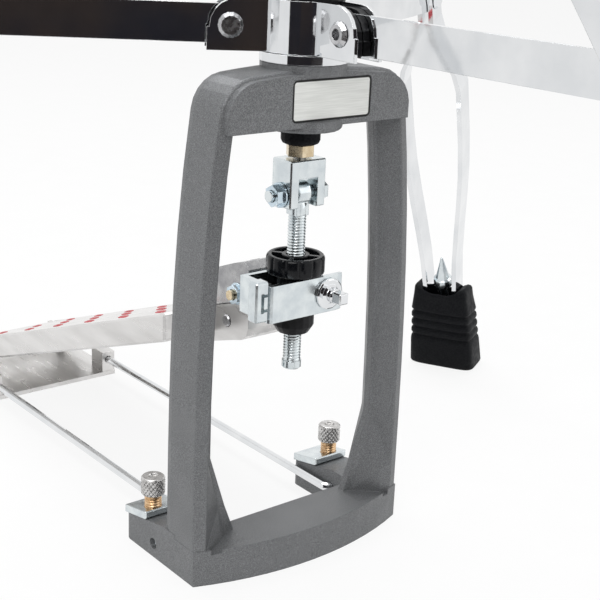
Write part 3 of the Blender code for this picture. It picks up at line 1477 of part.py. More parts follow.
def clamp_plate(name, side):
    """A plate on the foot's sloping end that the spur screw passes through."""
    slope = (FOOT_HEIGHT - FOOT_END_HEIGHT) / (FOOT_REAR - FOOT_SLOPE_START)

    def on_foot(y, lift):
        return (y, FOOT_HEIGHT - slope * (y - FOOT_SLOPE_START) + lift)

    outline = [
        on_foot(FOOT_PLATE_FRONT, SEAT),
        on_foot(FOOT_REAR, SEAT),
        on_foot(FOOT_REAR, SEAT + FOOT_PLATE_THICK),
        on_foot(FOOT_PLATE_FRONT, SEAT + FOOT_PLATE_THICK),
    ]
    a, b = sorted((side * (FOOT_INNER - 0.0003), side * (BASE_HALF + 0.0008)))
    made = flat(name, outline, a, b, "YZ", ZINC)
    bevelled(made, 0.0007)
    hole = pin("spur_hole", SPUR_R + HOLE_PLAY, -0.01, 0.05, None, at=(side * SPUR_X, SPUR_Y, 0), steps=14)
    return cut(made, hole)


def spur_screw(name, side):
    profile = [
        (0, SPUR_HEAD_TOP),
        (SPUR_HEAD_R - 0.0009, SPUR_HEAD_TOP),
        (SPUR_HEAD_R, SPUR_HEAD_TOP - 0.0009),
        (SPUR_HEAD_R, SPUR_HEAD_LOW + 0.0009),
        (SPUR_HEAD_R - 0.0009, SPUR_HEAD_LOW),
        (SPUR_R, SPUR_HEAD_LOW),
        (SPUR_R, SPUR_TIP_Z + SPUR_TIP_H),
        (0.0008, SPUR_TIP_Z),
        (0, SPUR_TIP_Z),
    ]
    return turned(name, profile, BRASS, at=(side * SPUR_X, SPUR_Y, 0), steps=14)


def carry(name, place_at, *nodes):
    """An empty on a joint's axis that carries the pieces moving about it."""
    empty = bpy.data.objects.new(name, None)
    empty.location = place_at
    empty.empty_display_size = 0.02
    PARTS.objects.link(empty)
    bpy.context.view_layer.update()
    for node in nodes:
        node.parent = empty
        node.matrix_parent_inverse = empty.matrix_world.inverted()
    return empty


def around(r, z, angle):
    return (r * math.cos(angle), r * math.sin(angle), z)


def build():
    frame_casting()
    badge_plate()
    flange_ring()
    lower_tube()
    strut_hub()
    strut_collar()
    height_clamp()
    return_spring()
    heel_plate()
    for name, side in (("left", -1), ("right", 1)):
        clamp_plate("clamp_plate_" + name, side)
        radius_rod("radius_rod_" + name, side)
        carry("spur_" + name + "_joint", (side * SPUR_X, SPUR_Y, SPUR_HEAD_LOW), spur_screw("spur_screw_" + name, side))
    carry("pull_rod_joint", (0, 0, CLEVIS_TOP), pull_rod(), bumper(), lock_nut(), clevis(), clevis_bolt(), clevis_nut())
    carry("rod_swing_joint", (0, 0, CLEVIS_PIVOT_Z), threaded_rod(), clamp_bush(), clamp_front_plate(),
          clamp_rear_plate(), hinge_piece(), toe_bolt(), toe_nut())
    carry("finger_nut_joint", (0, 0, FINGER_NUT_LOW), finger_nut())
    carry("key_bolt_joint", (KEY_X, 0, KEY_Z), key_bolt())
    carry("footboard_joint", (0, HEEL_PIN_Y, HEEL_PIN_Z), footboard(), toe_block(), toe_pin())
    carry("height_joint", (0, 0, LOWER_TUBE_TOP), upper_tube(), cymbal_seat(), seat_felt())
    height_bolt = wing_bolt("height_wing_bolt", LOWER_TUBE_R + SEAT, HEIGHT_CLAMP_R, HEIGHT_WING_Z)
    carry("height_wing_joint", around(HEIGHT_CLAMP_R, HEIGHT_WING_Z, WING_ANGLE), height_bolt)
    carry("leg_collar_joint", (0, 0, TOP_PIVOT_Z), leg_collar())
    collar_bolt = wing_bolt("leg_wing_bolt", LOWER_TUBE_R + SEAT, LEG_COLLAR_R, TOP_PIVOT_Z)
    carry("leg_wing_joint", around(LEG_COLLAR_R, TOP_PIVOT_Z, WING_ANGLE), collar_bolt)
    carry("clutch_joint", (0, 0, CLUTCH_HEAD_LOW), clutch_body(), clutch_felt())
    clutch_bolt = wing_bolt("clutch_screw", PULL_ROD_R + SEAT, CLUTCH_HEAD_R, CLUTCH_SCREW_Z)
    carry("clutch_screw_joint", around(CLUTCH_HEAD_R, CLUTCH_SCREW_Z, WING_ANGLE), clutch_bolt)
    for key, angle in LEG_ANGLES.items():
        hub_rivet(key, angle)
        carry("strut_joint_" + key, around(HUB_PIVOT_R, HUB_PIVOT_Z, angle), strut(key, angle))
        strips = [leg_strip("leg_" + key + end, side, angle) for end, side in (("_near", 1), ("_far", -1))]
        carry("leg_joint_" + key, around(TOP_PIVOT_R, TOP_PIVOT_Z, angle), *strips, boot(key, angle))
        carry("spike_joint_" + key, around(leg_radius(BOOT_POCKET_FLOOR), BOOT_POCKET_FLOOR, angle), spike(key, angle))
    for obj in PARTS.objects:
        if obj.type == "MESH":
            obj.data.shade_smooth()
            obj.data.set_sharp_from_angle(angle=math.radians(30))


build()
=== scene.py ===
"""Looks for the hi-hat stand: materials on the CAD nodes, the detailed pieces that replace some of them,
a pale studio and the photograph's camera. Metres, +Z up, origin on the floor on the tube's axis."""

import math

import bmesh
import bpy
from mathutils import Matrix, Vector

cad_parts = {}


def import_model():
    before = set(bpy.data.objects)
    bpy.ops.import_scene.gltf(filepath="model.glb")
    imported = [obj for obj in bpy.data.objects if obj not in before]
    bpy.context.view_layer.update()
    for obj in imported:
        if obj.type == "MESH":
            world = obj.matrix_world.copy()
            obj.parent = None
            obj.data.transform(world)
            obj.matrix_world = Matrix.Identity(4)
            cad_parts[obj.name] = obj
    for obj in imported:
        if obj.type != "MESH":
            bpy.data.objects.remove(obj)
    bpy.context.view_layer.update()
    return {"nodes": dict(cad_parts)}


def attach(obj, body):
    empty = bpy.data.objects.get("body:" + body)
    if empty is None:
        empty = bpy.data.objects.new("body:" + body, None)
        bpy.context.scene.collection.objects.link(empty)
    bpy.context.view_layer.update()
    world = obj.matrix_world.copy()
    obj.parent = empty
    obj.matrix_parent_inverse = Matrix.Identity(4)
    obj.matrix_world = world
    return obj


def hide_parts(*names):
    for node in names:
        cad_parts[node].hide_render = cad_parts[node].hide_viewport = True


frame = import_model()
NODES = frame["nodes"]

# Places and sizes that follow the CAD, in metres and radians
BADGE_CENTER = (0.0055, 0.2503)
BADGE_HALF = (0.02495, 0.01015)
BADGE_CORNER = 0.0022
SCREW_R = 0.0048
SCREW_PITCH = 0.0016
SCREW_THREAD_TOP = 0.1895
SCREW_TOP = 0.1958
SCREW_COLLAR_TOP = 0.109
SCREW_COLLAR_R = 0.00525
SCREW_END = 0.104
CLEVIS_PIVOT_Z = 0.200
EYE_R = 0.0062
EYE_BORE_R = 0.0033
EYE_HALF = 0.0040
NUT_R = 0.0155
NUT_LOW = 0.1573
NUT_TOP = 0.1673
NUT_BORE_R = 0.0051
SPUR_PLACE = (0.0628, 0.038)
SPUR_HEAD_R = 0.00675
SPUR_HEAD = (0.0303, 0.0410)
SPUR_R = 0.00475
LEG_ANGLES = {"a": math.radians(148.5), "b": math.radians(-91.5), "c": math.radians(28.5)}
BOOT_TOP = 0.070
BOOT_FLOOR_R = 0.3195
BOOT_LEAN = 0.36
BOOT_FLOOR_HALF = (0.0178, 0.0255)
BOOT_TAPER = (0.0023, 0.0040)
BOOT_GROOVES = (0.026, 0.033, 0.040, 0.047)
POCKET_HALF = (0.0102, 0.0131)
LEG_FOOT = (0.312, 0.025)
LEG_LEAN = 0.107 / 0.261
BOARD_TOE = (0.0534, 0.1270)
BOARD_SLOPE = 0.367
SET_SCREW = (-0.0688, 0.025, 0.008)

# Details that only the scene has
THREAD_DEPTH = 0.0006
THREAD_FLANK = 1.25
SLOT_HALF = 0.0006
SLOT_POINTS = 17
NUT_FLUTES = 12
NUT_FLUTE_DEPTH = 0.0008
NUT_SPOKES = 4
NUT_SPOKE_TURN = 38
NUT_SUNK = 0.0030
NUT_RIM_R = 0.0129
NUT_BOSS_R = 0.0071
SPUR_PITCH = 0.0015
KNURL_COUNT = 20
KNURL_PITCH = 0.0030
KNURL_DEPTH = 0.0007
BOOT_POINTS = 56
BOOT_BULGE = 0.00012
BOOT_CORNER = 0.34
POCKET_CORNER = 0.16
POCKET_FLOOR = 0.0125
RIM_DIP = 0.0065
GRIP_ROWS = 6
GRIP_FIRST_Y = 0.083
GRIP_ROW_STEP = 0.041
GRIP_COLUMN_STEP = 0.027
GRIP_SHIFT_X = -0.003
GRIP_PAIR = ((0.0, 0.0), (0.0058, 0.0075))
GRIP_HALF = (0.0026, 0.0150)
GRIP_TURN = -24
GRIP_POINTS = 28

# Camera and light
CAMERA_PLACE = (-0.4008, -0.4913, 0.3503)
CAMERA_AZIMUTH = math.radians(-39.5)
CAMERA_PITCH = math.radians(18.2)
CAMERA_ROLL = math.radians(2.45)
CAMERA_LENS_MM = 75.8
WORLD_LIGHT = 0.34
FLOOR_OWN_WHITE = 0.88
LAMP_TARGET = (0, 0, 0.2)

X_AXIS = Matrix.Rotation(math.radians(90), 4, "Y")


# Node helpers
def start(name, color, roughness, metallic=0.0, **sockets):
    made = bpy.data.materials.new(name)
    made.use_nodes = True
    shader = made.node_tree.nodes["Principled BSDF"]
    shader.inputs["Base Color"].default_value = (*color, 1.0)
    shader.inputs["Roughness"].default_value = roughness
    shader.inputs["Metallic"].default_value = metallic
    for key, value in sockets.items():
        shader.inputs[key.replace("_", " ")].default_value = value
    return made, made.node_tree, shader


def add(tree, kind, **values):
    made = tree.nodes.new("ShaderNode" + kind)
    for key, value in values.items():
        socket = key.replace("_", " ")
        if socket in made.inputs:
            made.inputs[socket].default_value = value
        else:
            setattr(made, key, value)
    return made


def point(tree, stretch=(1, 1, 1)):
    place = add(tree, "TexCoord")
    mapping = add(tree, "Mapping", Scale=stretch)
    tree.links.new(place.outputs["Object"], mapping.inputs["Vector"])
    return mapping.outputs["Vector"]


def noise(tree, scale, detail=2.0, stretch=(1, 1, 1)):
    made = add(tree, "TexNoise", Scale=scale, Detail=detail)
    tree.links.new(point(tree, stretch), made.inputs["Vector"])
    return made.outputs["Fac"]


def remap(tree, value, low, high, start_at=0.35, end_at=0.65):
    made = tree.nodes.new("ShaderNodeMapRange")
    tree.links.new(value, made.inputs["Value"])
    made.inputs["From Min"].default_value = start_at
    made.inputs["From Max"].default_value = end_at
    made.inputs["To Min"].default_value = low
    made.inputs["To Max"].default_value = high
    return made.outputs["Result"]


def blend_colors(tree, value, first, second, start_at=0.35, end_at=0.65):
    made = tree.nodes.new("ShaderNodeValToRGB")
    made.color_ramp.elements[0].position = start_at
    made.color_ramp.elements[1].position = end_at
    made.color_ramp.elements[0].color = (*first, 1)
    made.color_ramp.elements[1].color = (*second, 1)
    tree.links.new(value, made.inputs["Fac"])
    return made.outputs["Color"]


def math_node(tree, operation, first, second):
    made = add(tree, "Math", operation=operation)
    for slot, value in enumerate((first, second)):
        if isinstance(value, (int, float)):
            made.inputs[slot].default_value = value
        else:
            tree.links.new(value, made.inputs[slot])
    return made.outputs["Value"]


def relief(tree, shader, height, distance, edge=0.0, strength=1.0):
    """Bump from a height of 0 to 1, on edges rounded in the shading by `edge` metres."""
    bump = add(tree, "Bump", Strength=strength, Distance=distance)
    tree.links.new(height, bump.inputs["Height"])
    if edge:
        bevel = add(tree, "Bevel", Radius=edge)
        bevel.samples = 4
        tree.links.new(bevel.outputs["Normal"], bump.inputs["Normal"])
    tree.links.new(bump.outputs["Normal"], shader.inputs["Normal"])


# Materials
def paint():
    """Grey sparkle paint with an orange-peel skin."""
    made, tree, shader = start("frame_paint", (0.17, 0.175, 0.18), 0.45, 0.35)
    grain = noise(tree, 2300, 1.0)
    cloud = noise(tree, 60, 3.0)
    fine = blend_colors(tree, grain, (0.115, 0.119, 0.124), (0.235, 0.240, 0.246), 0.36, 0.66)
    tree.links.new(fine, shader.inputs["Base Color"])
    tree.links.new(remap(tree, cloud, 0.40, 0.52), shader.inputs["Roughness"])
    relief(tree, shader, noise(tree, 1100, 2.0), 0.00018, 0.0009, 0.5)
    return made


def metal(name, light, dark, rough, grain, stretch=(1, 1, 1), depth=0.00002, edge=0.0004):
    made, tree, shader = start(name, light, rough[0], 1.0)
    patch = noise(tree, grain, 3.0, stretch)
    tree.links.new(blend_colors(tree, patch, dark, light), shader.inputs["Base Color"])
    wear = noise(tree, grain * 2.7, 2.0, stretch)
    tree.links.new(remap(tree, wear, *rough), shader.inputs["Roughness"])
    relief(tree, shader, wear, depth, edge, 0.35)
    return made


def dull(name, light, dark, rough, grain, depth, edge=0.0005, **sockets):
    made, tree, shader = start(name, light, rough[0], 0.0, **sockets)
    patch = noise(tree, grain, 3.0)
    tree.links.new(blend_colors(tree, patch, dark, light), shader.inputs["Base Color"])
    tree.links.new(remap(tree, noise(tree, grain * 0.3, 2.0), *rough), shader.inputs["Roughness"])
    relief(tree, shader, patch, depth, edge, 0.6)
    return made


def felt():
    made, tree, shader = start("felt", (0.36, 0.35, 0.34), 0.95, 0.0, Sheen_Weight=0.4, Sheen_Roughness=0.5)
    hair = noise(tree, 1500, 4.0, (1, 1, 0.35))
    color = blend_colors(tree, hair, (0.20, 0.195, 0.19), (0.46, 0.45, 0.44))
    tree.links.new(color, shader.inputs["Base Color"])
    relief(tree, shader, hair, 0.0006, 0.001, 0.8)
    return made


def badge():
    """A satin white plate inside a black line, with nothing printed on it. The black line is partly the
    plate's own black border and partly painted shadow of the gap round the plate.
    """
    made, tree, shader = start("badge_white", (0.66, 0.67, 0.64), 0.32, 0.25)
    place = add(tree, "TexCoord")
    split = add(tree, "SeparateXYZ")
    tree.links.new(place.outputs["Object"], split.inputs["Vector"])
    reach = []
    for output, center, half in zip(("X", "Z"), BADGE_CENTER, BADGE_HALF):
        away = math_node(tree, "ABSOLUTE", math_node(tree, "SUBTRACT", split.outputs[output], center), 0)
        inside = math_node(tree, "SUBTRACT", away, half - BADGE_CORNER)
        reach.append(math_node(tree, "MAXIMUM", inside, 0))
    square = [math_node(tree, "MULTIPLY", value, value) for value in reach]
    distance = math_node(tree, "SQRT", math_node(tree, "ADD", *square), 0)
    depth = math_node(tree, "SUBTRACT", BADGE_CORNER, distance)
    brushed = noise(tree, 420, 2.0, (0.15, 1, 4))
    face = blend_colors(tree, brushed, (0.74, 0.75, 0.72), (0.84, 0.85, 0.82))
    # Black band along the plate's edge: partly its black border, partly painted shadow of the gap between
    # plate and recess
    mix = add(tree, "Mix", data_type="RGBA")
    tree.links.new(remap(tree, depth, 0.0, 1.0, 0.00078, 0.00088), mix.inputs["Factor"])
    color_in = [socket for socket in mix.inputs if socket.type == "RGBA"]
    color_in[0].default_value = (0.006, 0.006, 0.006, 1)
    tree.links.new(face, color_in[1])
    color_out = [socket for socket in mix.outputs if socket.type == "RGBA"][0]
    tree.links.new(color_out, shader.inputs["Base Color"])
    relief(tree, shader, brushed, 0.00002, 0.0003, 0.3)
    return made


PAINT = paint()
BADGE = badge()
FELT = felt()
CHROME = metal("chrome", (0.80, 0.81, 0.82), (0.72, 0.735, 0.75), (0.03, 0.07), 45, depth=0.00001)
ZINC = metal("zinc", (0.73, 0.775, 0.785), (0.61, 0.66, 0.685), (0.14, 0.24), 130)
BLUE_ZINC = metal("blue_zinc", (0.66, 0.76, 0.82), (0.52, 0.62, 0.70), (0.16, 0.26), 220)
STEEL = metal("steel", (0.62, 0.62, 0.63), (0.48, 0.48, 0.49), (0.20, 0.32), 160)
BRASS = metal("brass", (0.78, 0.66, 0.47), (0.62, 0.50, 0.33), (0.18, 0.32), 240)
SPUR = metal("spur_metal", (0.70, 0.69, 0.68), (0.50, 0.49, 0.48), (0.16, 0.26), 300)
ALUMINIUM = metal("aluminium", (0.74, 0.73, 0.72), (0.62, 0.61, 0.60), (0.26, 0.38), 90, (1, 0.2, 1))
CAST = metal("cast_aluminium", (0.46, 0.46, 0.46), (0.30, 0.30, 0.31), (0.16, 0.28), 110, edge=0.0008)
RUBBER = dull("rubber", (0.012, 0.0125, 0.014), (0.005, 0.0055, 0.007), (0.45, 0.60), 900,
              depth=0.00012, edge=0.0010, Specular_IOR_Level=0.07)
PLASTIC = dull("black_plastic", (0.007, 0.0075, 0.009), (0.003, 0.0035, 0.005), (0.12, 0.20), 600,
               depth=0.00002, edge=0.0007, Specular_IOR_Level=0.22)
NYLON = dull("black_nylon", (0.009, 0.009, 0.010), (0.005, 0.005, 0.006), (0.30, 0.42), 500,
             depth=0.00005, edge=0.0008, Specular_IOR_Level=0.2)
COPPER_BRASS = metal("thread_brass", (0.80, 0.56, 0.34), (0.60, 0.38, 0.20), (0.20, 0.34), 300)
RED = dull("grip_red", (0.52, 0.045, 0.055), (0.36, 0.025, 0.035), (0.45, 0.62), 700, 0.00006)

LOOKS = {
    PAINT: ["frame_casting"],
    BADGE: ["badge_plate"],
    CHROME: ["flange_ring", "lower_tube", "strut_collar", "strut_a", "strut_b", "strut_c",
             "leg_a_near", "leg_a_far", "leg_b_near", "leg_b_far", "leg_c_near", "leg_c_far",
             "upper_tube", "clutch_body", "key_bolt", "radius_rod_left", "radius_rod_right"],
    ZINC: ["clamp_plate_left", "clamp_plate_right", "spike_a", "spike_b", "spike_c", "clutch_screw",
           "height_wing_bolt", "leg_wing_bolt", "clevis", "clevis_bolt", "clamp_front_plate",
           "clamp_rear_plate", "hinge_piece", "threaded_rod"],
    BLUE_ZINC: ["clevis_nut", "toe_nut"],
    STEEL: ["hub_rivet_a", "hub_rivet_b", "hub_rivet_c", "pull_rod", "return_spring", "toe_pin"],
    BRASS: ["lock_nut", "toe_bolt"],
    SPUR: ["spur_screw_left", "spur_screw_right"],
    ALUMINIUM: ["footboard", "heel_plate"],
    CAST: ["toe_block"],
    RUBBER: ["bumper", "boot_a", "boot_b", "boot_c"],
    PLASTIC: ["finger_nut"],
    NYLON: ["strut_hub", "height_clamp", "leg_collar", "cymbal_seat", "clamp_bush"],
    FELT: ["seat_felt", "clutch_felt"],
}
for look, names in LOOKS.items():
    for name in names:
        NODES[name].data.materials.clear()
        NODES[name].data.materials.append(look)


# Mesh helpers
def as_object(name, work, look, smooth_angle=35):
    bmesh.ops.remove_doubles(work, verts=work.verts, dist=1e-7)
    bmesh.ops.recalc_face_normals(work, faces=work.faces)
    mesh = bpy.data.meshes.new(name)
    work.to_mesh(mesh)
    work.free()
    mesh.materials.append(look)
    mesh.shade_smooth()
    mesh.set_sharp_from_angle(angle=math.radians(smooth_angle))
    obj = bpy.data.objects.new(name, mesh)
    bpy.context.scene.collection.objects.link(obj)
    return obj


def lathe(work, rows, segments, matrix=None, wave=None, closed=False):
    """Turns rows of (radius, height) about Z. wave(angle, height) is taken off the radius."""
    matrix = matrix or Matrix.Identity(4)
    grid = []
    for radius, height in rows:
        line = []
        for i in range(segments):
            angle = 2 * math.pi * i / segments
            r = max(radius - (wave(angle, height) if wave and radius > 0 else 0), 0)
            line.append(work.verts.new(matrix @ Vector((r * math.cos(angle), r * math.sin(angle), height))))
        grid.append(line)
    skin(work, grid + grid[:1] if closed else grid)
    for line, (radius, _) in ((grid[0], rows[0]), (grid[-1], rows[-1])):
        if not closed and radius > 0:
            work.faces.new(line)


def skin(work, rings):
    """Quads between each ring of points and the next, round the whole ring."""
    for low, high in zip(rings, rings[1:]):
        for i in range(len(low)):
            j = (i + 1) % len(low)
            work.faces.new((low[i], low[j], high[j], high[i]))


def span(low, high, step):
    count = max(int(math.ceil((high - low) / step)), 1)
    return [low + (high - low) * i / count for i in range(count + 1)]


def tooth(value):
    """0 at whole numbers, 1 half way between."""
    return 1 - abs(2 * (value % 1) - 1)


def thread(pitch, depth, low, high):
    """A helical thread between two heights that fades out at its ends."""

    def taken(angle, height):
        fade = min(max((height - low) / pitch, 0), max((high - height) / pitch, 0), 1)
        return depth * fade * (1 - min(THREAD_FLANK * tooth(height / pitch - angle / (2 * math.pi)), 1))

    return taken


def box_part(work, low, high):
    size = [b - a for a, b in zip(low, high)]
    middle = [(a + b) / 2 for a, b in zip(low, high)]
    bmesh.ops.create_cube(work, size=1, matrix=Matrix.Translation(middle) @ Matrix.Diagonal((*size, 1)))


def pull_screw():
    """The pull screw with its real thread, eye and slotted end."""
    work = bmesh.new()
    low, high = SCREW_COLLAR_TOP, SCREW_THREAD_TOP
    rows = [(0, low - 0.001), (SCREW_R - 0.0006, low - 0.001)]
    rows += [(SCREW_R, z) for z in span(low, high, SCREW_PITCH / 8)]
    rows += [(SCREW_R, SCREW_TOP - 0.0013), (SCREW_R - 0.0008, SCREW_TOP), (0, SCREW_TOP)]
    lathe(work, rows, 32, wave=thread(SCREW_PITCH, THREAD_DEPTH, low, high))
    ring = [(EYE_R - 0.0004, -EYE_HALF), (EYE_R, -EYE_HALF + 0.0004), (EYE_R, EYE_HALF - 0.0004),
            (EYE_R - 0.0004, EYE_HALF), (EYE_BORE_R, EYE_HALF), (EYE_BORE_R, -EYE_HALF)]
    lathe(work, ring, 40, Matrix.Translation((0, 0, CLEVIS_PIVOT_Z)) @ X_AXIS, closed=True)
    box_part(work, (-EYE_HALF, -0.0042, SCREW_THREAD_TOP - 0.0010), (EYE_HALF, 0.0042, SCREW_TOP - 0.0003))
    profile = ((SCREW_COLLAR_R - 0.0008, SCREW_END), (SCREW_COLLAR_R, SCREW_END + 0.0008),
               (SCREW_COLLAR_R, SCREW_COLLAR_TOP - 0.0006), (SCREW_R - 0.0004, SCREW_COLLAR_TOP))
    for side in (-1, 1):
        half = []
        for radius, z in profile:
            first = math.asin(SLOT_HALF / radius)
            line = []
            for i in range(SLOT_POINTS):
                a = first + (math.pi - 2 * first) * i / (SLOT_POINTS - 1)
                line.append(work.verts.new((radius * math.cos(a), side * radius * math.sin(a), z)))
            half.append(line)
        skin(work, half)
        work.faces.new(half[0])
        work.faces.new(half[-1])
    box_part(work, (-0.0044, -0.0008, SCREW_END + 0.0024), (0.0044, 0.0008, SCREW_COLLAR_TOP))
    made = as_object("pull_screw_detail", work, ZINC)
    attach(made, "link")
    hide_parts("threaded_rod")


def knurl(count, pitch, depth, low, high):
    """A diamond knurl between two heights."""

    def taken(angle, height):
        if not low < height < high:
            return 0
        turn = angle / (2 * math.pi) * count
        rise = (height - low) / pitch
        return depth * (1 - min(tooth(turn + rise), tooth(turn - rise)))

    return taken


def spur_screw(name, body, side):
    """A knurled thumb screw with a dished top and a threaded spur."""
    work = bmesh.new()
    place = Matrix.Translation((side * SPUR_PLACE[0], SPUR_PLACE[1], 0))
    low, high = SPUR_HEAD
    rows = [(0, low), (SPUR_HEAD_R - 0.0012, low), (SPUR_HEAD_R - 0.0003, low + 0.0008)]
    rows += [(SPUR_HEAD_R, z) for z in span(low + 0.0010, high - 0.0010, 0.00035)]
    rows += [(SPUR_HEAD_R - 0.0002, high - 0.0007), (SPUR_HEAD_R - 0.0009, high), (0.0030, high),
             (0.0026, high - 0.0009), (0, high - 0.0009)]
    lathe(work, rows, 120, place, knurl(KNURL_COUNT, KNURL_PITCH, KNURL_DEPTH, low + 0.0009, high - 0.0009))
    made = as_object(name + "_head", work, SPUR, 28)
    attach(made, body)
    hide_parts(name)
    work = bmesh.new()
    rows = [(0, 0.0020), (0.0008, 0.0020), (SPUR_R - 0.0005, 0.0056)]
    rows += [(SPUR_R, z) for z in span(0.0060, low - 0.0004, 0.00018)] + [(SPUR_R - 0.0005, low), (0, low)]
    lathe(work, rows, 36, place, thread(SPUR_PITCH, THREAD_DEPTH, 0.0060, low - 0.0004))
    made = as_object(name + "_thread", work, COPPER_BRASS, 28)
    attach(made, body)


def finger_nut():
    """The round nut with flutes, soft edges and four spokes in its sunk top."""
    work = bmesh.new()

    def flutes(angle, height):
        if not NUT_LOW < height < NUT_TOP - 0.0004:
            return 0
        return NUT_FLUTE_DEPTH * max(0, math.cos(NUT_FLUTES * angle)) ** 6

    outer = [(NUT_R - 0.0012, NUT_LOW), (NUT_R - 0.0004, NUT_LOW + 0.0004), (NUT_R, NUT_LOW + 0.0013)]
    outer += [(NUT_R, NUT_TOP - 0.0016), (NUT_R - 0.0003, NUT_TOP - 0.0007), (NUT_R - 0.0011, NUT_TOP)]
    inner = [(NUT_RIM_R, NUT_TOP), (NUT_RIM_R - 0.0003, NUT_TOP - 0.0003)]
    inner += [(NUT_RIM_R - 0.0005, NUT_TOP - NUT_SUNK), (NUT_BOSS_R + 0.0005, NUT_TOP - NUT_SUNK)]
    inner += [(NUT_BOSS_R + 0.0003, NUT_TOP - 0.0003), (NUT_BOSS_R, NUT_TOP)]
    inner += [(NUT_BORE_R + 0.0002, NUT_TOP), (NUT_BORE_R, NUT_TOP - 0.0003), (NUT_BORE_R, NUT_LOW)]
    lathe(work, outer + inner, 144, wave=flutes, closed=True)
    for i in range(NUT_SPOKES):
        turn = Matrix.Rotation(math.radians(360 / NUT_SPOKES * i + NUT_SPOKE_TURN), 4, "Z")
        spoke = bmesh.new()
        box_part(spoke, (NUT_BOSS_R + 0.0001, -0.0011, NUT_TOP - NUT_SUNK - 0.0002),
                 (NUT_RIM_R - 0.0001, 0.0011, NUT_TOP - 0.0001))
        bmesh.ops.transform(spoke, matrix=turn, verts=spoke.verts)
        mesh = bpy.data.meshes.new("spoke")
        spoke.to_mesh(mesh)
        spoke.free()
        work.from_mesh(mesh)
        bpy.data.meshes.remove(mesh)
    made = as_object("finger_nut_detail", work, PLASTIC)
    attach(made, "adjuster")
    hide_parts("finger_nut")


def boot(key, angle):
    """A rubber boot with soft corners, ribs that run round it, raised shoulders and its pocket."""
    work = bmesh.new()
    turn = Matrix.Rotation(angle, 4, "Z")

    def around(center, half_r, half_y, power, height):
        line = []
        for i in range(BOOT_POINTS):
            t = 2 * math.pi * (i + 0.5) / BOOT_POINTS
            c, s = math.cos(t), math.sin(t)
            r = center + half_r * math.copysign(abs(c) ** power, c)
            y = half_y * math.copysign(abs(s) ** power, s)
            z = height(abs(y) / half_y) if callable(height) else height
            line.append(work.verts.new(turn @ Vector((r, y, z))))
        return line

    def outer(z, inset, height=None):
        share = z / BOOT_TOP
        bulge = BOOT_BULGE * math.sin(math.pi * share)
        half_r, half_y = [floor - taper * share - inset + bulge
                          for floor, taper in zip(BOOT_FLOOR_HALF, BOOT_TAPER)]
        return around(BOOT_FLOOR_R - BOOT_LEAN * z, half_r, half_y, BOOT_CORNER, height or z)

    levels = [(0.0, 0.0026), (0.0003, 0.0014), (0.0010, 0.0005), (0.0022, 0.0), (0.012, 0.0), (0.0215, 0.0)]
    for groove in BOOT_GROOVES:
        levels += [(groove - 0.0026, 0.0002), (groove - 0.0015, 0.0005), (groove - 0.0006, 0.0016),
                   (groove + 0.0006, 0.0016), (groove + 0.0015, 0.0005), (groove + 0.0026, 0.0002)]
    levels += [(0.0530, 0.0006), (0.0570, 0.0010), (0.0610, 0.0014)]
    rings = [outer(z, inset) for z, inset in levels]

    def rim(drop):
        return lambda share: BOOT_TOP - drop - RIM_DIP * (1 - share**2)

    for z, inset, drop in ((0.0650, 0.0018, 0.0024), (0.0672, 0.0026, 0.0008), (0.0685, 0.0040, 0.0)):
        rings.append(outer(z, inset, rim(drop)))
    pocket = [(0.0672, 0.0006, rim(0.0020)), (0.0600, 0.0, 0.0600), (POCKET_FLOOR, 0.0, POCKET_FLOOR)]
    for z, grown, height in pocket:
        middle = LEG_FOOT[0] - LEG_LEAN * (z - LEG_FOOT[1])
        rings.append(around(middle, POCKET_HALF[0] + grown, POCKET_HALF[1] + grown, POCKET_CORNER, height))
    skin(work, rings)
    work.faces.new(rings[0])
    work.faces.new(rings[-1])
    made = as_object("boot_" + key + "_skin", work, RUBBER, 50)
    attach(made, "leg_" + key)
    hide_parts("boot_" + key)


def grip_marks():
    """Pairs of slanted lens-shaped marks set on the footboard's tread."""
    work = bmesh.new()
    lean = math.atan(BOARD_SLOPE)
    tilt = Matrix.Rotation(-lean, 4, "X")
    turn = Matrix.Rotation(math.radians(GRIP_TURN), 4, "Z")
    for row in range(GRIP_ROWS):
        for column in (-1, 0, 1):
            for shift_x, shift_y in GRIP_PAIR:
                x = column * GRIP_COLUMN_STEP + shift_x + GRIP_SHIFT_X
                y = GRIP_FIRST_Y + row * GRIP_ROW_STEP + shift_y
                z = BOARD_TOE[1] - BOARD_SLOPE * (y - BOARD_TOE[0])
                place = Matrix.Translation((x, y, z)) @ tilt @ turn
                edge, top = [], []
                for i in range(GRIP_POINTS):
                    t = 2 * math.pi * i / GRIP_POINTS
                    u = GRIP_HALF[0] * math.sin(t) * abs(math.sin(t)) ** 0.35
                    v = GRIP_HALF[1] * math.cos(t)
                    edge.append(work.verts.new(place @ Vector((u, v, -0.0002))))
                    top.append(work.verts.new(place @ Vector((u * 0.9, v * 0.97, 0.0003))))
                skin(work, [edge, top])
                work.faces.new(top)
                work.faces.new(edge)
    made = as_object("grip_marks", work, RED)
    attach(made, "pedal")


def set_screw():
    """The small screw sunk in the left foot, with a plain dimple in its head."""
    work = bmesh.new()
    x, y, z = SET_SCREW
    place = Matrix.Translation((x, y, z)) @ X_AXIS
    rows = [(0, 0.0055), (0.0028, 0.0055), (0.0029, 0.0006), (0.0024, 0.0)]
    rows += [(0.0013, 0.0), (0.0008, 0.0011), (0, 0.0014)]
    lathe(work, rows, 28, place)
    made = as_object("set_screw", work, ZINC)
    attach(made, "stand")


pull_screw()
finger_nut()
grip_marks()
set_screw()
for key, angle in LEG_ANGLES.items():
    boot(key, angle)
for label, sign in (("left", -1), ("right", 1)):
    spur_screw("spur_screw_" + label, "spur_" + label, sign)


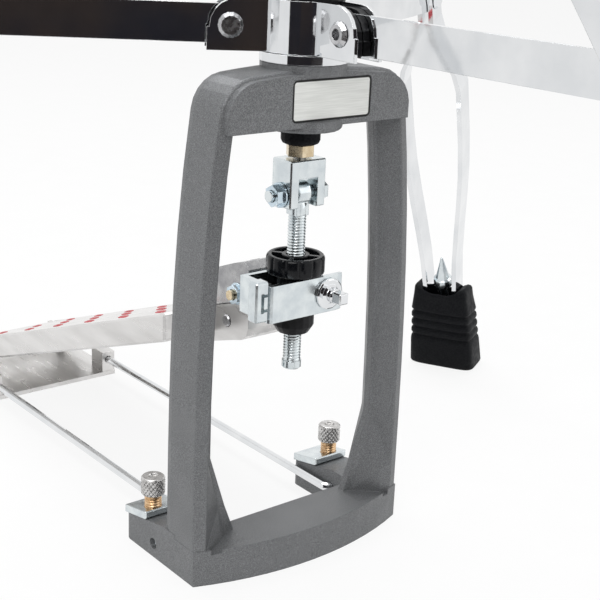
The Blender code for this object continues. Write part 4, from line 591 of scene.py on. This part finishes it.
# Studio
def sheet(name, corners, look, glossy_only=False):
    work = bmesh.new()
    work.faces.new([work.verts.new(corner) for corner in corners])
    mesh = bpy.data.meshes.new(name)
    work.to_mesh(mesh)
    work.free()
    mesh.materials.append(look)
    obj = bpy.data.objects.new(name, mesh)
    bpy.context.scene.collection.objects.link(obj)
    if glossy_only:
        obj.visible_camera = False
        obj.visible_diffuse = False
        obj.visible_shadow = False


def floor_look():
    """White for the camera and in metal, keeping a faint shadow."""
    made, tree, shader = start("floor_white", (0.80, 0.80, 0.80), 0.7)
    tree.links.new(blend_colors(tree, noise(tree, 30), (0.78, 0.78, 0.78), (0.82, 0.82, 0.82)),
                   shader.inputs["Base Color"])
    path = add(tree, "LightPath")
    seen = math_node(tree, "MAXIMUM", path.outputs["Is Camera Ray"], path.outputs["Is Glossy Ray"])
    share = math_node(tree, "MULTIPLY", seen, FLOOR_OWN_WHITE)
    glow = add(tree, "Emission", Strength=1.0)
    glow.inputs["Color"].default_value = (1, 1, 1, 1)
    mix = add(tree, "MixShader")
    tree.links.new(share, mix.inputs[0])
    tree.links.new(shader.outputs[0], mix.inputs[1])
    tree.links.new(glow.outputs[0], mix.inputs[2])
    tree.links.new(mix.outputs[0], tree.nodes["Material Output"].inputs["Surface"])
    return made


def world():
    made = bpy.data.worlds.new("studio")
    bpy.context.scene.world = made
    made.use_nodes = True
    tree = made.node_tree
    dim = tree.nodes["Background"]
    dim.inputs["Color"].default_value = (1, 1, 1, 1)
    dim.inputs["Strength"].default_value = WORLD_LIGHT
    white = add(tree, "Background", Strength=1.0)
    white.inputs["Color"].default_value = (1, 1, 1, 1)
    path = add(tree, "LightPath")
    seen = math_node(tree, "MAXIMUM", path.outputs["Is Camera Ray"], path.outputs["Is Glossy Ray"])
    seen = math_node(tree, "MAXIMUM", seen, path.outputs["Is Transmission Ray"])
    mix = add(tree, "MixShader")
    tree.links.new(seen, mix.inputs[0])
    tree.links.new(dim.outputs[0], mix.inputs[1])
    tree.links.new(white.outputs[0], mix.inputs[2])
    tree.links.new(mix.outputs[0], tree.nodes["World Output"].inputs["Surface"])


def lamp(name, place, target, size, power):
    data = bpy.data.lights.new(name, "AREA")
    data.shape = "RECTANGLE"
    data.size, data.size_y = size
    data.energy = power
    obj = bpy.data.objects.new(name, data)
    obj.location = place
    obj.rotation_euler = (Vector(target) - Vector(place)).to_track_quat("-Z", "Y").to_euler()
    bpy.context.scene.collection.objects.link(obj)


def camera():
    """The photograph's camera. Returns the directions backwards from it and level to its right."""
    flat = Vector((math.sin(CAMERA_AZIMUTH), -math.cos(CAMERA_AZIMUTH), 0))
    back = flat * math.cos(CAMERA_PITCH) + Vector((0, 0, math.sin(CAMERA_PITCH)))
    level = Vector((math.cos(CAMERA_AZIMUTH), math.sin(CAMERA_AZIMUTH), 0))
    rise = back.cross(level)
    right = math.cos(CAMERA_ROLL) * level + math.sin(CAMERA_ROLL) * rise
    up = math.cos(CAMERA_ROLL) * rise - math.sin(CAMERA_ROLL) * level
    data = bpy.data.cameras.new("camera")
    data.lens = CAMERA_LENS_MM
    data.sensor_width = 36
    data.clip_start = 0.01
    obj = bpy.data.objects.new("camera", data)
    turn = Matrix((right, up, back)).transposed().to_4x4()
    obj.matrix_world = Matrix.Translation(CAMERA_PLACE) @ turn
    bpy.context.scene.collection.objects.link(obj)
    bpy.context.scene.camera = obj
    return back, level


BACK, LEVEL = camera()
world()
sheet("floor", [(-6, -6, 0), (6, -6, 0), (6, 6, 0), (-6, 6, 0)], floor_look())

# Black sheets seen only in reflections, one behind the camera and one just above the floor
flag, flag_tree, flag_shader = start("flag_black", (0.010, 0.010, 0.014), 0.9)
flag_color = blend_colors(flag_tree, noise(flag_tree, 6), (0.004, 0.004, 0.010), (0.030, 0.018, 0.012))
flag_tree.links.new(flag_color, flag_shader.inputs["Base Color"])
away = Vector((BACK.x, BACK.y, 0)).normalized()
far, near = away * 1.6, away * 0.45
wide, thin = LEVEL * 1.15, LEVEL * 0.30
low, high = Vector((0, 0, 0.002)), Vector((0, 0, 1.3))
sheet("dark_flag", [far - wide + low, far + wide + low, far + wide + high, far - wide + high], flag, True)
sheet("dark_apron", [near - thin + low, near + thin + low, far + wide + low, far - wide + low], flag, True)

lamp("key", (-1.6, -1.0, 1.7), LAMP_TARGET, (1.4, 1.4), 25)
lamp("fill", (1.6, -1.6, 1.0), LAMP_TARGET, (1.6, 1.6), 4)
lamp("top", (0.2, 0.4, 2.0), LAMP_TARGET, (1.6, 1.6), 34)

bpy.context.scene.view_settings.view_transform = "Standard"
